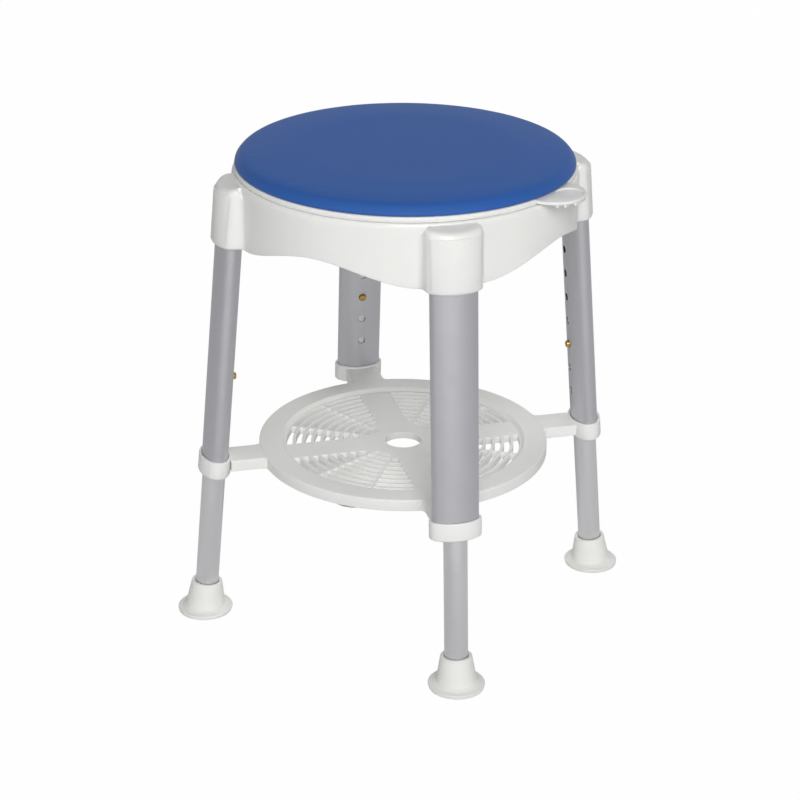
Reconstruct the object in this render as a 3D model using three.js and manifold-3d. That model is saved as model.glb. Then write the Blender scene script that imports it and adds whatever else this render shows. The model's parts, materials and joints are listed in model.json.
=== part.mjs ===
// Height-adjustable shower stool with a swivelling padded seat, a slotted shelf and telescopic legs.
// Millimetres, +Z up. The origin is on the floor, at the centre of the four feet.
// The four legs stand on the diagonals and lean inwards, so the sides of the stool face X and Y.
import * as THREE from "three";
import { mergeVertices } from "three/addons/utils/BufferGeometryUtils.js";
import Module from "manifold-3d";

const wasm = await Module();
wasm.setup();

// ---------------------------------------------------------------- driving dimensions
const GAP = 0.3; // between pieces that are fixed together
const RUNNING_GAP = 0.4; // between pieces that slide or turn on each other

const LEGS = [
  { side: "front_left", azimuthDeg: -135 },
  { side: "front_right", azimuthDeg: -45 },
  { side: "rear_right", azimuthDeg: 45 },
  { side: "rear_left", azimuthDeg: 135 },
];
const LEG_TILT_DEG = 4.89;
const LEG_OUTSET = 3.9; // of the leg axes outside the rim of the seat, at the seam

const TUBE_WIDTH = 44.4; // across the leg, along the rim of the seat
const TUBE_DEPTH = 25.4; // towards the middle of the stool
const TUBE_END_RADIUS = 8;
const TUBE_WALL = 1.1;
const TUBE_STOP = 3; // solid top of the socket that the tube meets

const EXTENSION_DIAMETER = 22.5;
const EXTENSION_WALL = 1.2;
const EXTENSION_ABOVE_BUTTON = 36.8;

const HOLE_PITCH = 25.4;
const HOLES_ABOVE_BUTTON = 4;
const HOLES_BELOW_BUTTON = 2;
const HOLE_DIAMETER = 7.8;
const LOWEST_HOLE = 44.7; // above the end of the tube
const BUTTON_DIAMETER = 7;
const BUTTON_REACH = 2.9; // the dome stands out of the tube by this much
const BUTTON_FLANGE_DIAMETER = 9.2;
const BUTTON_FLANGE_THICKNESS = 1;
const BUTTON_LIFT = 1.6; // from the flange to the bore of the extension
const SPRING_WIDTH = 6;
const SPRING_THICKNESS = 0.7;
const SPRING_LENGTH = 44;

const GUIDE_HEAD = 8;
const GUIDE_PLUG = 12;
const BUSH_FLANGE = 2;
const BUSH_LENGTH = 30;

const FOOT_RADIUS = 27.4;
const FOOT_HEIGHT = 32;
const FOOT_BRIM = 3.8; // height of its edge
const FOOT_BRIM_SLOPE = 4.4; // its top rises inwards over this width
const FOOT_CUP_TOP_RADIUS = 15;
const FOOT_CUP_BASE_RADIUS = 18.4;
const FOOT_FLOOR = 6; // thickness under the tube

const SHELF_TOP_Z = 167.8;
const SHELF_RADIUS = 142.9;
const SHELF_DEPTH = 11.6;
const SHELF_RIM = 26.3; // width of the plain border
const SHELF_WALL = 2.6;
const SHELF_PLATE = 3;
const GRID_STEP = 4; // the slotted grid lies this much below the rim
const GRID_THICKNESS = 7.4;
const HUB_HOLE_RADIUS = 18.2;
const SPOKE_WIDTH = 32;
const SLOT_COUNT = 9;
const SLOT_PITCH = 9.2;
const SLOT_WIDTH = 6;
const SLOT_EDGE = 0.6; // solid land between the outermost slot and the rim
const SLOT_RIB = 2.2; // radial rib between two fans of slots
const SLOT_SHORTEST = 4;
const SLOT_SAGITTA = 1.2; // of the straight pieces that make up an arc
const FAN_HALF_ANGLE_DEG = 15; // of the middle fan of each quarter
const ARM_WIDTH = 33;
const ARM_FLARE = 6;
const ARM_DROP = 0.4; // the arms lie this much below the rim
const COLLAR_RISE = 2.4; // above the rim of the shelf
const COLLAR_HEIGHT = 17.7;
const COLLAR_WALL = 2.5;
const COLLAR_LIP = 2;

const SEAM_Z = 449.2; // between the seat base and the plate that turns on it
const RIM_RADIUS = 161.8;
const SKIRT_STEP = 2.4; // the skirt stands out of the rim by this much
const SKIRT_WALL = 3;
const SKIRT_HEIGHT = 60.7;
const RIM_EDGE = 3.4; // height and depth of the rounded top edge of the skirt
const RIM_WALL = 5.6;
const ARCH_HALF_WIDTH = 95;
const ARCH_RISE = 19.7;
const ARCH_FOOT_HANDLE = 25;
const ARCH_CROWN_HANDLE = 35;
const DECK_DROP = 9.2; // below the seam
const DECK_THICKNESS = 3;
const DECK_RIB = 2.4;
const DECK_RIB_DEPTH = 17;
const DECK_RIB_COUNT = 8;
const POST_WALL = 4.4;
const POST_TOP_DROP = 1.8; // below the seam, where the post leaves the rim
const POST_TOP_SLOPE = 0.2;
const POST_EDGE_RADIUS = 6;
const POST_FOOT_RADIUS = 2.5;
const POST_FILLET = 11;

const LATCH_INSET = 33.8; // of the latch wall from the rim
const LATCH_WALL = 3;
const LATCH_WALL_HEIGHT = 6.8;
const LATCH_STATIONS = 4;
const GLIDE_WIDTH = 13;
const GLIDE_HEIGHT = 6;

const PLATE_HEIGHT = 5.2;
const PLATE_THICKNESS = 3.2;
const PLATE_RIM = 6.6;
const PLATE_EDGE = 1.2;
const PAD_OVERLAP = 0.8; // the plate shows this much outside the pad
const PAD_THICKNESS = 11.4;
const PAD_SHOULDER = 28; // width of the rounded edge
const PAD_SIDE = 2;

const BOLT_DIAMETER = 10;
const BOLT_HEAD_RADIUS = 9;
const BOLT_HEAD_HEIGHT = 3.2;
const BOLT_SOCKET = 6; // across flats
const BOLT_TAIL = 4; // thread below the nut
const BOSS_RADIUS = 18;
const BOSS_RISE = 4;
const BOSS_DROP = 25;
const WASHER_THICKNESS = 1.5;
const THRUST_THICKNESS = 0.8;
const NUT_FLATS = 16;
const NUT_HEIGHT = 6;

const TAB_RADIUS = 31; // of its round end
const TAB_OFFSET = -5; // from its arm, along the rim
const TAB_REACH = 27.2; // outside the rim
const TAB_INSET = 12.8; // inside the rim
const TAB_THICKNESS = 3.2;
const TAB_TOP_DROP = 1; // below the top of the plate
const TAB_DISH_RADIUS = 12.5;
const TAB_DISH_INSET = 16; // centre, from the tip
const TAB_DISH_DEPTH = 0.9;
const TAB_RIB_COUNT = 3;
const TAB_RIB_PITCH = 5.5;
const TAB_RIB_WIDTH = 2;
const TAB_RIB_DEPTH = 2.8;
const TAB_ARM_HALF_WIDTH = 12;
const TAB_ARM_THICKNESS = 3.4;
const TOOTH_HALF_WIDTH = 3.6;
const TOOTH_LENGTH = 5;
const TOOTH_LIFT = 2; // above the deck
const TOOTH_CLEARANCE = 3; // outside the latch wall while the seat is free to turn
const RAIL_WIDTH = 3;
const RAIL_LIP = 1.3; // height of the lips under the arm of the tab
const RAIL_LIP_REACH = 2;

const SCREW_RISE = 23.5; // above the bottom of the skirt
const SCREW_RADIUS = 2;
const SCREW_HEAD_RADIUS = 4;
const SCREW_HEAD = 2.2;
const SCREW_LENGTH = 9;

const RIM_SEGMENTS = 36;
const TUBE_SEGMENTS = 16;
const SMALL_SEGMENTS = 8;

// ---------------------------------------------------------------- sizes worked out from them
const LEG_TILT = THREE.MathUtils.degToRad(LEG_TILT_DEG);
const LEG_CIRCLE_RADIUS = RIM_RADIUS + LEG_OUTSET + Math.tan(LEG_TILT) * SEAM_Z; // on the floor
const legRadiusAt = (z) => LEG_CIRCLE_RADIUS - Math.tan(LEG_TILT) * z;
const alongLeg = (z) => z / Math.cos(LEG_TILT);

const SKIRT_RADIUS = RIM_RADIUS + SKIRT_STEP;
const SKIRT_BOTTOM_Z = SEAM_Z - SKIRT_HEIGHT;
const DECK_Z = SEAM_Z - DECK_DROP;
const DECK_UNDER_Z = DECK_Z - DECK_THICKNESS;
const BOSS_TOP_Z = DECK_Z + BOSS_RISE;
const BOSS_BOTTOM_Z = DECK_UNDER_Z - BOSS_DROP;
const LATCH_RADIUS = RIM_RADIUS - LATCH_INSET;
const LATCH_OUTER = LATCH_RADIUS + LATCH_WALL / 2;
const LATCH_INNER = LATCH_RADIUS - LATCH_WALL / 2;
const GLIDE_OUTER = LATCH_INNER - GAP;

const PLATE_BOTTOM_Z = SEAM_Z + RUNNING_GAP;
const PLATE_TOP_Z = PLATE_BOTTOM_Z + PLATE_HEIGHT;
const PANEL_Z = PLATE_TOP_Z - PLATE_THICKNESS;
const HEAD_SEAT_Z = PLATE_TOP_Z - BOLT_HEAD_HEIGHT - GAP;

const TAB_TIP = RIM_RADIUS + TAB_REACH;
const TAB_ROOT = RIM_RADIUS - TAB_INSET;
const TAB_TRAVEL = TOOTH_CLEARANCE + LATCH_WALL;
const TAB_ARM_TOP_Z = PANEL_Z - RUNNING_GAP;
const TAB_ARM_BOTTOM_Z = TAB_ARM_TOP_Z - TAB_ARM_THICKNESS;
const TOOTH_START = LATCH_OUTER + TOOTH_CLEARANCE;

const GRID_RADIUS = SHELF_RADIUS - SHELF_RIM;
const GRID_Z = SHELF_TOP_Z - GRID_STEP;
const SHELF_FLOOR_Z = SHELF_TOP_Z - SHELF_DEPTH;

const COLLAR_TOP = alongLeg(SHELF_TOP_Z + COLLAR_RISE);
const COLLAR_BOTTOM = COLLAR_TOP - COLLAR_HEIGHT;
const BUSH_BOTTOM = COLLAR_BOTTOM + COLLAR_LIP + GAP;
const TUBE_BOTTOM = BUSH_BOTTOM + BUSH_FLANGE + GAP;
const TUBE_TOP = alongLeg(DECK_UNDER_Z) - TUBE_STOP;
const BORE_RADIUS = EXTENSION_DIAMETER / 2 + RUNNING_GAP;
const EXTENSION_BORE = EXTENSION_DIAMETER / 2 - EXTENSION_WALL;
const BUTTON_ALONG = TUBE_BOTTOM + LOWEST_HOLE + HOLES_BELOW_BUTTON * HOLE_PITCH;
const BUTTON_SEAT = EXTENSION_BORE - BUTTON_LIFT - BUTTON_FLANGE_THICKNESS;
const EXTENSION_TOP = BUTTON_ALONG + EXTENSION_ABOVE_BUTTON;
const EXTENSION_BOTTOM = alongLeg(FOOT_FLOOR + GAP) + (EXTENSION_DIAMETER / 2) * Math.tan(LEG_TILT);
const SCREW_ALONG = alongLeg(SKIRT_BOTTOM_Z + SCREW_RISE);

// ---------------------------------------------------------------- solids
function toSolid(geometry) {
  const bare = geometry.clone();
  bare.deleteAttribute("normal");
  bare.deleteAttribute("uv");
  const merged = mergeVertices(bare, 1e-4);
  return new wasm.Manifold(
    new wasm.Mesh({
      numProp: 3,
      vertProperties: new Float32Array(merged.attributes.position.array),
      triVerts: new Uint32Array(merged.index.array),
    }),
  );
}

function toGeometry(solid) {
  const mesh = solid.getMesh();
  const geometry = new THREE.BufferGeometry();
  geometry.setAttribute("position", new THREE.BufferAttribute(mesh.vertProperties, 3));
  geometry.setIndex(new THREE.BufferAttribute(mesh.triVerts, 1));
  return geometry;
}

const join = (geometries) =>
  toGeometry(geometries.map(toSolid).reduce((whole, piece) => whole.add(piece)));

const cut = (geometry, cutters) =>
  toGeometry(cutters.map(toSolid).reduce((whole, tool) => whole.subtract(tool), toSolid(geometry)));

const common = (geometry, other) => toGeometry(toSolid(geometry).intersect(toSolid(other)));

// ---------------------------------------------------------------- basic forms
const polar = (radius, angle) => new THREE.Vector2(radius * Math.cos(angle), radius * Math.sin(angle));

// A profile of [radius, height] pairs, anticlockwise, turned about Z.
function turned(profile, segments) {
  const points = profile.map(([radius, height]) => new THREE.Vector2(radius, height));
  return new THREE.LatheGeometry([...points, points[0]], segments).rotateX(Math.PI / 2);
}

const disc = (radius, bottom, top, segments = SMALL_SEGMENTS) =>
  new THREE.CylinderGeometry(radius, radius, top - bottom, segments)
    .rotateX(Math.PI / 2)
    .translate(0, 0, (bottom + top) / 2);

const ring = (inner, outer, bottom, top, segments) =>
  turned([[inner, bottom], [outer, bottom], [outer, top], [inner, top]], segments);

const block = (x0, x1, y0, y1, z0, z1) =>
  new THREE.BoxGeometry(x1 - x0, y1 - y0, z1 - z0).translate((x0 + x1) / 2, (y0 + y1) / 2, (z0 + z1) / 2);

function slab(outline, bottom, top, hole) {
  const shape = new THREE.Shape(outline);
  if (hole) shape.holes.push(new THREE.Path(hole));
  return new THREE.ExtrudeGeometry(shape, { depth: top - bottom, bevelEnabled: false }).translate(0, 0, bottom);
}

// A round bar along X, from x0 to x1, at height z.
const barAlongX = (radius, x0, x1, z, segments = SMALL_SEGMENTS) =>
  new THREE.CylinderGeometry(radius, radius, x1 - x0, segments)
    .rotateZ(Math.PI / 2)
    .translate((x0 + x1) / 2, 0, z);

// Closed skin over rings that have the same number of points.
function loft(rings) {
  const count = rings[0].length;
  const index = [];
  for (let layer = 0; layer + 1 < rings.length; layer++) {
    for (let i = 0; i < count; i++) {
      const a = layer * count + i;
      const b = layer * count + ((i + 1) % count);
      index.push(a, b, b + count, a, b + count, a + count);
    }
  }
  const lid = THREE.ShapeUtils.triangulateShape(rings[0].map((p) => new THREE.Vector2(p.x, p.y)), []);
  const last = (rings.length - 1) * count;
  for (const [a, b, c] of lid) index.push(a, c, b, last + a, last + b, last + c);
  return new THREE.BufferGeometry().setFromPoints(rings.flat()).setIndex(index);
}

// ---------------------------------------------------------------- the oval of the outer tube
// Four arcs: broad ones across the width and end ones of TUBE_END_RADIUS.
// X is the depth, towards the rim, and Y the width.
const END_CENTRE = TUBE_WIDTH / 2 - TUBE_END_RADIUS;
const BROAD_RADIUS =
  (END_CENTRE ** 2 + (TUBE_DEPTH / 2) ** 2 - TUBE_END_RADIUS ** 2) / (TUBE_DEPTH - 2 * TUBE_END_RADIUS);
const BROAD_CENTRE = BROAD_RADIUS - TUBE_DEPTH / 2;
const JOIN_ANGLE = Math.atan2(END_CENTRE, BROAD_CENTRE);
const OVAL_NORMALS = [0, JOIN_ANGLE / 2, JOIN_ANGLE, (JOIN_ANGLE + Math.PI / 2) / 2];

// The point of the oval, grown outwards by grow, whose normal points along angle (0 to 90 degrees).
function ovalPoint(angle, grow) {
  const broad = angle <= JOIN_ANGLE + 1e-9;
  const radius = (broad ? BROAD_RADIUS : TUBE_END_RADIUS) + grow;
  const point = polar(radius, angle);
  return broad ? point.setX(point.x - BROAD_CENTRE) : point.setY(point.y + END_CENTRE);
}

function oval(grow) {
  const quarter = OVAL_NORMALS.map((angle) => ovalPoint(angle, grow));
  const tip = ovalPoint(Math.PI / 2, grow);
  const mirrored = quarter.slice(1).reverse();
  return [
    ...quarter,
    tip,
    ...mirrored.map((p) => new THREE.Vector2(-p.x, p.y)),
    new THREE.Vector2(-quarter[0].x, 0),
    ...quarter.slice(1).map((p) => new THREE.Vector2(-p.x, -p.y)),
    new THREE.Vector2(0, -tip.y),
    ...mirrored.map((p) => new THREE.Vector2(p.x, -p.y)),
  ];
}

// ---------------------------------------------------------------- placing on the legs
// In a leg's frame X points away from the middle of the stool, Y along the rim and Z up the leg.
function legMatrix({ azimuthDeg }) {
  const azimuth = THREE.MathUtils.degToRad(azimuthDeg);
  const turn = new THREE.Matrix4().makeRotationZ(azimuth);
  const lean = new THREE.Matrix4().makeRotationY(-LEG_TILT);
  return turn.multiply(new THREE.Matrix4().makeTranslation(LEG_CIRCLE_RADIUS, 0, 0)).multiply(lean);
}

const onEachLeg = (make) => LEGS.map((leg) => make().applyMatrix4(legMatrix(leg)));
const turnedTo = (geometry, azimuthDeg) => geometry.rotateZ(THREE.MathUtils.degToRad(azimuthDeg));

// ---------------------------------------------------------------- legs
function heightHoles() {
  const holes = [];
  for (let step = -HOLES_BELOW_BUTTON; step <= HOLES_ABOVE_BUTTON; step++) {
    const height = BUTTON_ALONG + step * HOLE_PITCH;
    holes.push(barAlongX(HOLE_DIAMETER / 2, -TUBE_DEPTH, 0, height));
  }
  return holes;
}

const screwHole = () => barAlongX(SCREW_RADIUS + GAP, -TUBE_DEPTH / 2 - POST_WALL - 1, 0, SCREW_ALONG);

const outerLeg = () =>
  cut(slab(oval(0), TUBE_BOTTOM, TUBE_TOP, oval(-TUBE_WALL)), [...heightHoles(), screwHole()]);

function legExtension() {
  const tube = ring(EXTENSION_BORE, EXTENSION_DIAMETER / 2, EXTENSION_BOTTOM, EXTENSION_TOP, TUBE_SEGMENTS);
  return cut(tube, [barAlongX(HOLE_DIAMETER / 2, -EXTENSION_DIAMETER, 0, BUTTON_ALONG)]);
}

// Cap on the top of the extension, which keeps it central in the oval tube.
function legGuide() {
  const head = slab(oval(-TUBE_WALL - GAP), EXTENSION_TOP + GAP, EXTENSION_TOP + GAP + GUIDE_HEAD);
  const plug = disc(EXTENSION_BORE - GAP, EXTENSION_TOP - GUIDE_PLUG, EXTENSION_TOP + GUIDE_HEAD / 2, TUBE_SEGMENTS);
  return join([head, plug]);
}

// Flanged bush in the foot of the outer tube: two cheeks on either side of the sliding extension.
function legBush() {
  const flange = slab(oval(0), BUSH_BOTTOM, BUSH_BOTTOM + BUSH_FLANGE);
  const cheeks = slab(oval(-TUBE_WALL - GAP), BUSH_BOTTOM + BUSH_FLANGE / 2, BUSH_BOTTOM + BUSH_LENGTH);
  const bore = disc(BORE_RADIUS, BUSH_BOTTOM - 1, BUSH_BOTTOM + BUSH_LENGTH + 1, TUBE_SEGMENTS);
  return cut(join([flange, cheeks]), [bore]);
}

// The button points to the middle of the stool, along -X of the leg.
function snapButton() {
  const radius = BUTTON_DIAMETER / 2;
  const tip = TUBE_DEPTH / 2 + BUTTON_REACH;
  const flangeTop = BUTTON_SEAT + BUTTON_FLANGE_THICKNESS;
  const dome = [0, 45].map((degrees) => {
    const angle = THREE.MathUtils.degToRad(degrees);
    return [radius * Math.cos(angle), tip - radius * 0.8 * (1 - Math.sin(angle))];
  });
  const profile = [
    [0, BUTTON_SEAT],
    [BUTTON_FLANGE_DIAMETER / 2, BUTTON_SEAT],
    [BUTTON_FLANGE_DIAMETER / 2, flangeTop],
    [radius, flangeTop],
    ...dome,
    [0, tip],
  ];
  return turned(profile, SMALL_SEGMENTS).rotateY(-Math.PI / 2).translate(0, 0, BUTTON_ALONG);
}

// Two leaves of one bent strip, which push the button out against the far side of the extension.
function buttonSpring() {
  const front = GAP - BUTTON_SEAT;
  const back = EXTENSION_BORE * 0.92;
  const top = BUTTON_ALONG + BUTTON_FLANGE_DIAMETER / 2 + 1;
  const bend = BUTTON_ALONG - BUTTON_FLANGE_DIAMETER / 2 - 2;
  const foot = top - SPRING_LENGTH;
  const t = SPRING_THICKNESS;
  const outline = [
    [front, top], [front, bend], [-2 * t, foot], [2 * t, foot], [back, bend], [back, top],
    [back - t, top], [back - t, bend], [t, foot + 2 * t], [-t, foot + 2 * t], [front + t, bend], [front + t, top],
  ].map(([x, z]) => new THREE.Vector2(x, z));
  return slab(outline, -SPRING_WIDTH / 2, SPRING_WIDTH / 2).rotateX(Math.PI / 2);
}

// Rubber foot with a cup for the tube and a wide brim. Its base stays level under the leaning leg.
function foot() {
  const bore = EXTENSION_DIAMETER / 2 + GAP;
  const profile = [
    [0, 0],
    [FOOT_RADIUS - 1.2, 0],
    [FOOT_RADIUS, FOOT_BRIM * 0.4],
    [FOOT_RADIUS - 0.3, FOOT_BRIM],
    [FOOT_RADIUS - FOOT_BRIM_SLOPE, FOOT_BRIM * 1.3],
    [FOOT_CUP_BASE_RADIUS, FOOT_BRIM * 2],
    [FOOT_CUP_TOP_RADIUS, FOOT_HEIGHT - 1.4],
    [FOOT_CUP_TOP_RADIUS - 1, FOOT_HEIGHT],
    [bore, FOOT_HEIGHT],
    [bore, FOOT_FLOOR],
    [0, FOOT_FLOOR],
  ];
  const lean = new THREE.Matrix4().makeShear(0, 0, 0, 0, -Math.tan(LEG_TILT), 0);
  return turned(profile, TUBE_SEGMENTS).applyMatrix4(lean).translate(LEG_CIRCLE_RADIUS, 0, 0);
}

// Pan-head screw through the inner side of the post into the tube.
function legScrew() {
  const seat = -TUBE_DEPTH / 2 - POST_WALL - GAP;
  const head = barAlongX(SCREW_HEAD_RADIUS, seat - SCREW_HEAD, seat, SCREW_ALONG);
  const shank = barAlongX(SCREW_RADIUS, seat - SCREW_HEAD / 2, seat + SCREW_LENGTH, SCREW_ALONG);
  return join([head, shank]);
}

// ---------------------------------------------------------------- shelf
// One slot: a stretch of ring whose ends run along the lines that half() gives for each radius.
function arcSlot(radius, startAt, endAt) {
  const [inner, outer] = [radius - SLOT_WIDTH / 2, radius + SLOT_WIDTH / 2];
  const finest = 2 * Math.acos(1 - SLOT_SAGITTA / radius);
  const steps = Math.ceil((endAt(radius) - startAt(radius)) / finest);
  const shares = Array.from({ length: steps + 1 }, (_, i) => i / steps);
  const along = (r) => shares.map((share) => polar(r, THREE.MathUtils.lerp(startAt(r), endAt(r), share)));
  const outline = [...along(outer), ...along(inner).reverse()];
  return slab(outline, GRID_Z - GRID_THICKNESS - 1, GRID_Z + 1);
}

// The three fans of slots between two spokes, mirrored about the middle of the quarter.
function quarterSlots(azimuth) {
  const rib = (r) => SLOT_RIB / 2 / r;
  const fan = THREE.MathUtils.degToRad(FAN_HALF_ANGLE_DEG);
  const spoke = (r) => Math.PI / 4 - Math.asin(SPOKE_WIDTH / 2 / r);
  const fans = [
    [(r) => azimuth - fan + rib(r), (r) => azimuth + fan - rib(r)],
    [(r) => azimuth + fan + rib(r), (r) => azimuth + spoke(r)],
    [(r) => azimuth - spoke(r), (r) => azimuth - fan - rib(r)],
  ];
  const slots = [];
  for (let i = 0; i < SLOT_COUNT; i++) {
    const radius = GRID_RADIUS - SLOT_EDGE - SLOT_WIDTH / 2 - i * SLOT_PITCH;
    for (const [startAt, endAt] of fans) {
      const length = (endAt(radius) - startAt(radius)) * radius;
      if (length > SLOT_SHORTEST) slots.push(arcSlot(radius, startAt, endAt));
    }
  }
  return slots;
}

function shelfDisc() {
  const edge = 1.4;
  return turned(
    [
      [0, GRID_Z - GRID_THICKNESS],
      [GRID_RADIUS + SHELF_WALL, GRID_Z - GRID_THICKNESS],
      [GRID_RADIUS + SHELF_WALL, SHELF_TOP_Z - SHELF_PLATE],
      [SHELF_RADIUS - SHELF_WALL, SHELF_TOP_Z - SHELF_PLATE],
      [SHELF_RADIUS - SHELF_WALL, SHELF_FLOOR_Z],
      [SHELF_RADIUS, SHELF_FLOOR_Z],
      [SHELF_RADIUS, SHELF_TOP_Z - edge],
      [SHELF_RADIUS - edge * 0.3, SHELF_TOP_Z - edge * 0.3],
      [SHELF_RADIUS - edge, SHELF_TOP_Z],
      [GRID_RADIUS + GRID_STEP, SHELF_TOP_Z],
      [GRID_RADIUS, GRID_Z],
      [0, GRID_Z],
    ],
    RIM_SEGMENTS,
  );
}

// Plan of an arm, from inside the rim to the collar, flared where it leaves the rim.
function armPlan(inset) {
  const half = ARM_WIDTH / 2 - inset;
  const start = SHELF_RADIUS - ARM_FLARE;
  const straight = SHELF_RADIUS + ARM_FLARE;
  const end = legRadiusAt(SHELF_TOP_Z) - TUBE_DEPTH / 2 - GAP - inset / 2;
  const shape = new THREE.Shape();
  shape.moveTo(start, -half - ARM_FLARE);
  shape.quadraticCurveTo(SHELF_RADIUS, -half, straight, -half);
  shape.lineTo(end, -half);
  shape.lineTo(end, half);
  shape.lineTo(straight, half);
  shape.quadraticCurveTo(SHELF_RADIUS, half, start, half + ARM_FLARE);
  return shape.getPoints(3);
}

// A channel, open below, that carries the shelf on one collar.
function shelfArm() {
  const top = SHELF_TOP_Z - ARM_DROP;
  const outside = slab(armPlan(0), SHELF_FLOOR_Z, top);
  const beyondRim = disc(SHELF_RADIUS - SHELF_WALL / 2, SHELF_FLOOR_Z - 1, top + 1, RIM_SEGMENTS);
  const hollow = slab(armPlan(SHELF_WALL), SHELF_FLOOR_Z - 1, top - SHELF_PLATE);
  return cut(outside, [beyondRim, hollow]);
}

const collar = () => slab(oval(GAP + COLLAR_WALL), COLLAR_BOTTOM, COLLAR_TOP);

function shelfTray() {
  const arms = LEGS.map(({ azimuthDeg }) => turnedTo(shelfArm(), azimuthDeg));
  const slots = [0, 90, 180, 270].flatMap((azimuthDeg) => quarterSlots(THREE.MathUtils.degToRad(azimuthDeg)));
  const seats = onEachLeg(() => slab(oval(GAP), COLLAR_BOTTOM + COLLAR_LIP, COLLAR_TOP + 1));
  const mouths = onEachLeg(() => disc(BORE_RADIUS + GAP, COLLAR_BOTTOM - 1, COLLAR_TOP, TUBE_SEGMENTS));
  const hubHole = disc(HUB_HOLE_RADIUS, GRID_Z - GRID_THICKNESS - 1, GRID_Z + 1, TUBE_SEGMENTS);
  const body = join([shelfDisc(), ...arms, ...onEachLeg(collar)]);
  return cut(body, [hubHole, ...slots, ...seats, ...mouths]);
}

// ---------------------------------------------------------------- seat base
function baseShell() {
  const inner = SKIRT_RADIUS - SKIRT_WALL;
  return turned(
    [
      [0, DECK_UNDER_Z],
      [inner, DECK_UNDER_Z],
      [inner, SKIRT_BOTTOM_Z],
      [SKIRT_RADIUS, SKIRT_BOTTOM_Z],
      [SKIRT_RADIUS, SEAM_Z - RIM_EDGE],
      [SKIRT_RADIUS - RIM_EDGE * 0.25, SEAM_Z - RIM_EDGE * 0.3],
      [SKIRT_RADIUS - RIM_EDGE * 0.8, SEAM_Z],
      [SKIRT_RADIUS - RIM_WALL, SEAM_Z],
      [SKIRT_RADIUS - RIM_WALL, DECK_Z],
      [LATCH_OUTER, DECK_Z],
      [LATCH_OUTER, DECK_Z + LATCH_WALL_HEIGHT],
      [LATCH_INNER, DECK_Z + LATCH_WALL_HEIGHT],
      [LATCH_INNER, DECK_Z],
      [0, DECK_Z],
    ],
    RIM_SEGMENTS,
  );
}

// Webs under the deck, from the boss to the skirt.
function deckRibs() {
  const bottom = DECK_UNDER_Z - DECK_RIB_DEPTH;
  const top = DECK_UNDER_Z + DECK_THICKNESS / 2;
  const half = DECK_RIB / 2;
  const end = SKIRT_RADIUS - SKIRT_WALL / 2;
  return Array.from({ length: DECK_RIB_COUNT }, (_, i) =>
    turnedTo(block(BOSS_RADIUS - 1, end, -half, half, bottom, top), ((i + 0.5) * 360) / DECK_RIB_COUNT),
  );
}

// Low arches cut through the skirt between the posts, as one bar through both sides.
function archCutter() {
  const below = SKIRT_BOTTOM_Z - 10;
  const crown = SKIRT_BOTTOM_Z + ARCH_RISE;
  const shape = new THREE.Shape();
  shape.moveTo(-ARCH_HALF_WIDTH, below);
  shape.lineTo(ARCH_HALF_WIDTH, below);
  shape.lineTo(ARCH_HALF_WIDTH, SKIRT_BOTTOM_Z);
  shape.bezierCurveTo(
    ARCH_HALF_WIDTH - ARCH_FOOT_HANDLE, SKIRT_BOTTOM_Z, ARCH_CROWN_HANDLE, crown, 0, crown,
  );
  shape.bezierCurveTo(
    -ARCH_CROWN_HANDLE, crown, -ARCH_HALF_WIDTH + ARCH_FOOT_HANDLE, SKIRT_BOTTOM_Z, -ARCH_HALF_WIDTH, SKIRT_BOTTOM_Z,
  );
  const length = 3 * SKIRT_RADIUS;
  return new THREE.ExtrudeGeometry(shape, { depth: length, bevelEnabled: false, curveSegments: 6 })
    .translate(0, 0, -length / 2)
    .rotateX(Math.PI / 2);
}

// Outline of a post, with a fillet on either side where it stands out of the skirt.
function postOutline(inset, along) {
  const z = along * Math.cos(LEG_TILT);
  const skirtAt = (y) => Math.sqrt(SKIRT_RADIUS ** 2 - y ** 2) - legRadiusAt(z);
  const front = OVAL_NORMALS.map((angle) => ovalPoint(angle, POST_WALL - inset));
  const side = ovalPoint(Math.PI / 2, POST_WALL - inset);
  const wide = side.y + POST_FILLET;
  const toe = new THREE.Vector2(skirtAt(wide) - 0.4, wide);
  const bend = new THREE.Vector2(skirtAt(side.y), side.y + 0.8);
  const fillet = new THREE.QuadraticBezierCurve(side, bend, toe).getPoints(2);
  const root = new THREE.Vector2(toe.x - SKIRT_WALL / 2, wide);
  const back = front.slice(0, 3).reverse().map((p) => new THREE.Vector2(-p.x, p.y));
  const half = [...front, ...fillet, root, ...back];
  const other = half.slice(1, -1).reverse().map((p) => new THREE.Vector2(p.x, -p.y));
  return [...half, ...other];
}

// The top falls away from the rim, and its edge is rounded.
const postTop = (x) => alongLeg(SEAM_Z - POST_TOP_DROP - POST_TOP_SLOPE * Math.max(0, x));

function post() {
  const bottom = alongLeg(SKIRT_BOTTOM_Z);
  const arc = [0, 45, 90].map((degrees) => THREE.MathUtils.degToRad(degrees));
  const lower = [arc[0], arc[2]].map((angle) => {
    const inset = POST_FOOT_RADIUS * (1 - Math.sin(angle));
    const along = bottom + POST_FOOT_RADIUS * (1 - Math.cos(angle));
    return postOutline(inset, along).map((p) => new THREE.Vector3(p.x, p.y, along));
  });
  const upper = arc.map((angle) => {
    const inset = POST_EDGE_RADIUS * (1 - Math.cos(angle));
    const drop = POST_EDGE_RADIUS * (1 - Math.sin(angle));
    const outline = postOutline(inset, postTop(0) - drop);
    return outline.map((p) => new THREE.Vector3(p.x, p.y, postTop(p.x) - drop));
  });
  return loft([...lower, ...upper]);
}

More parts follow.
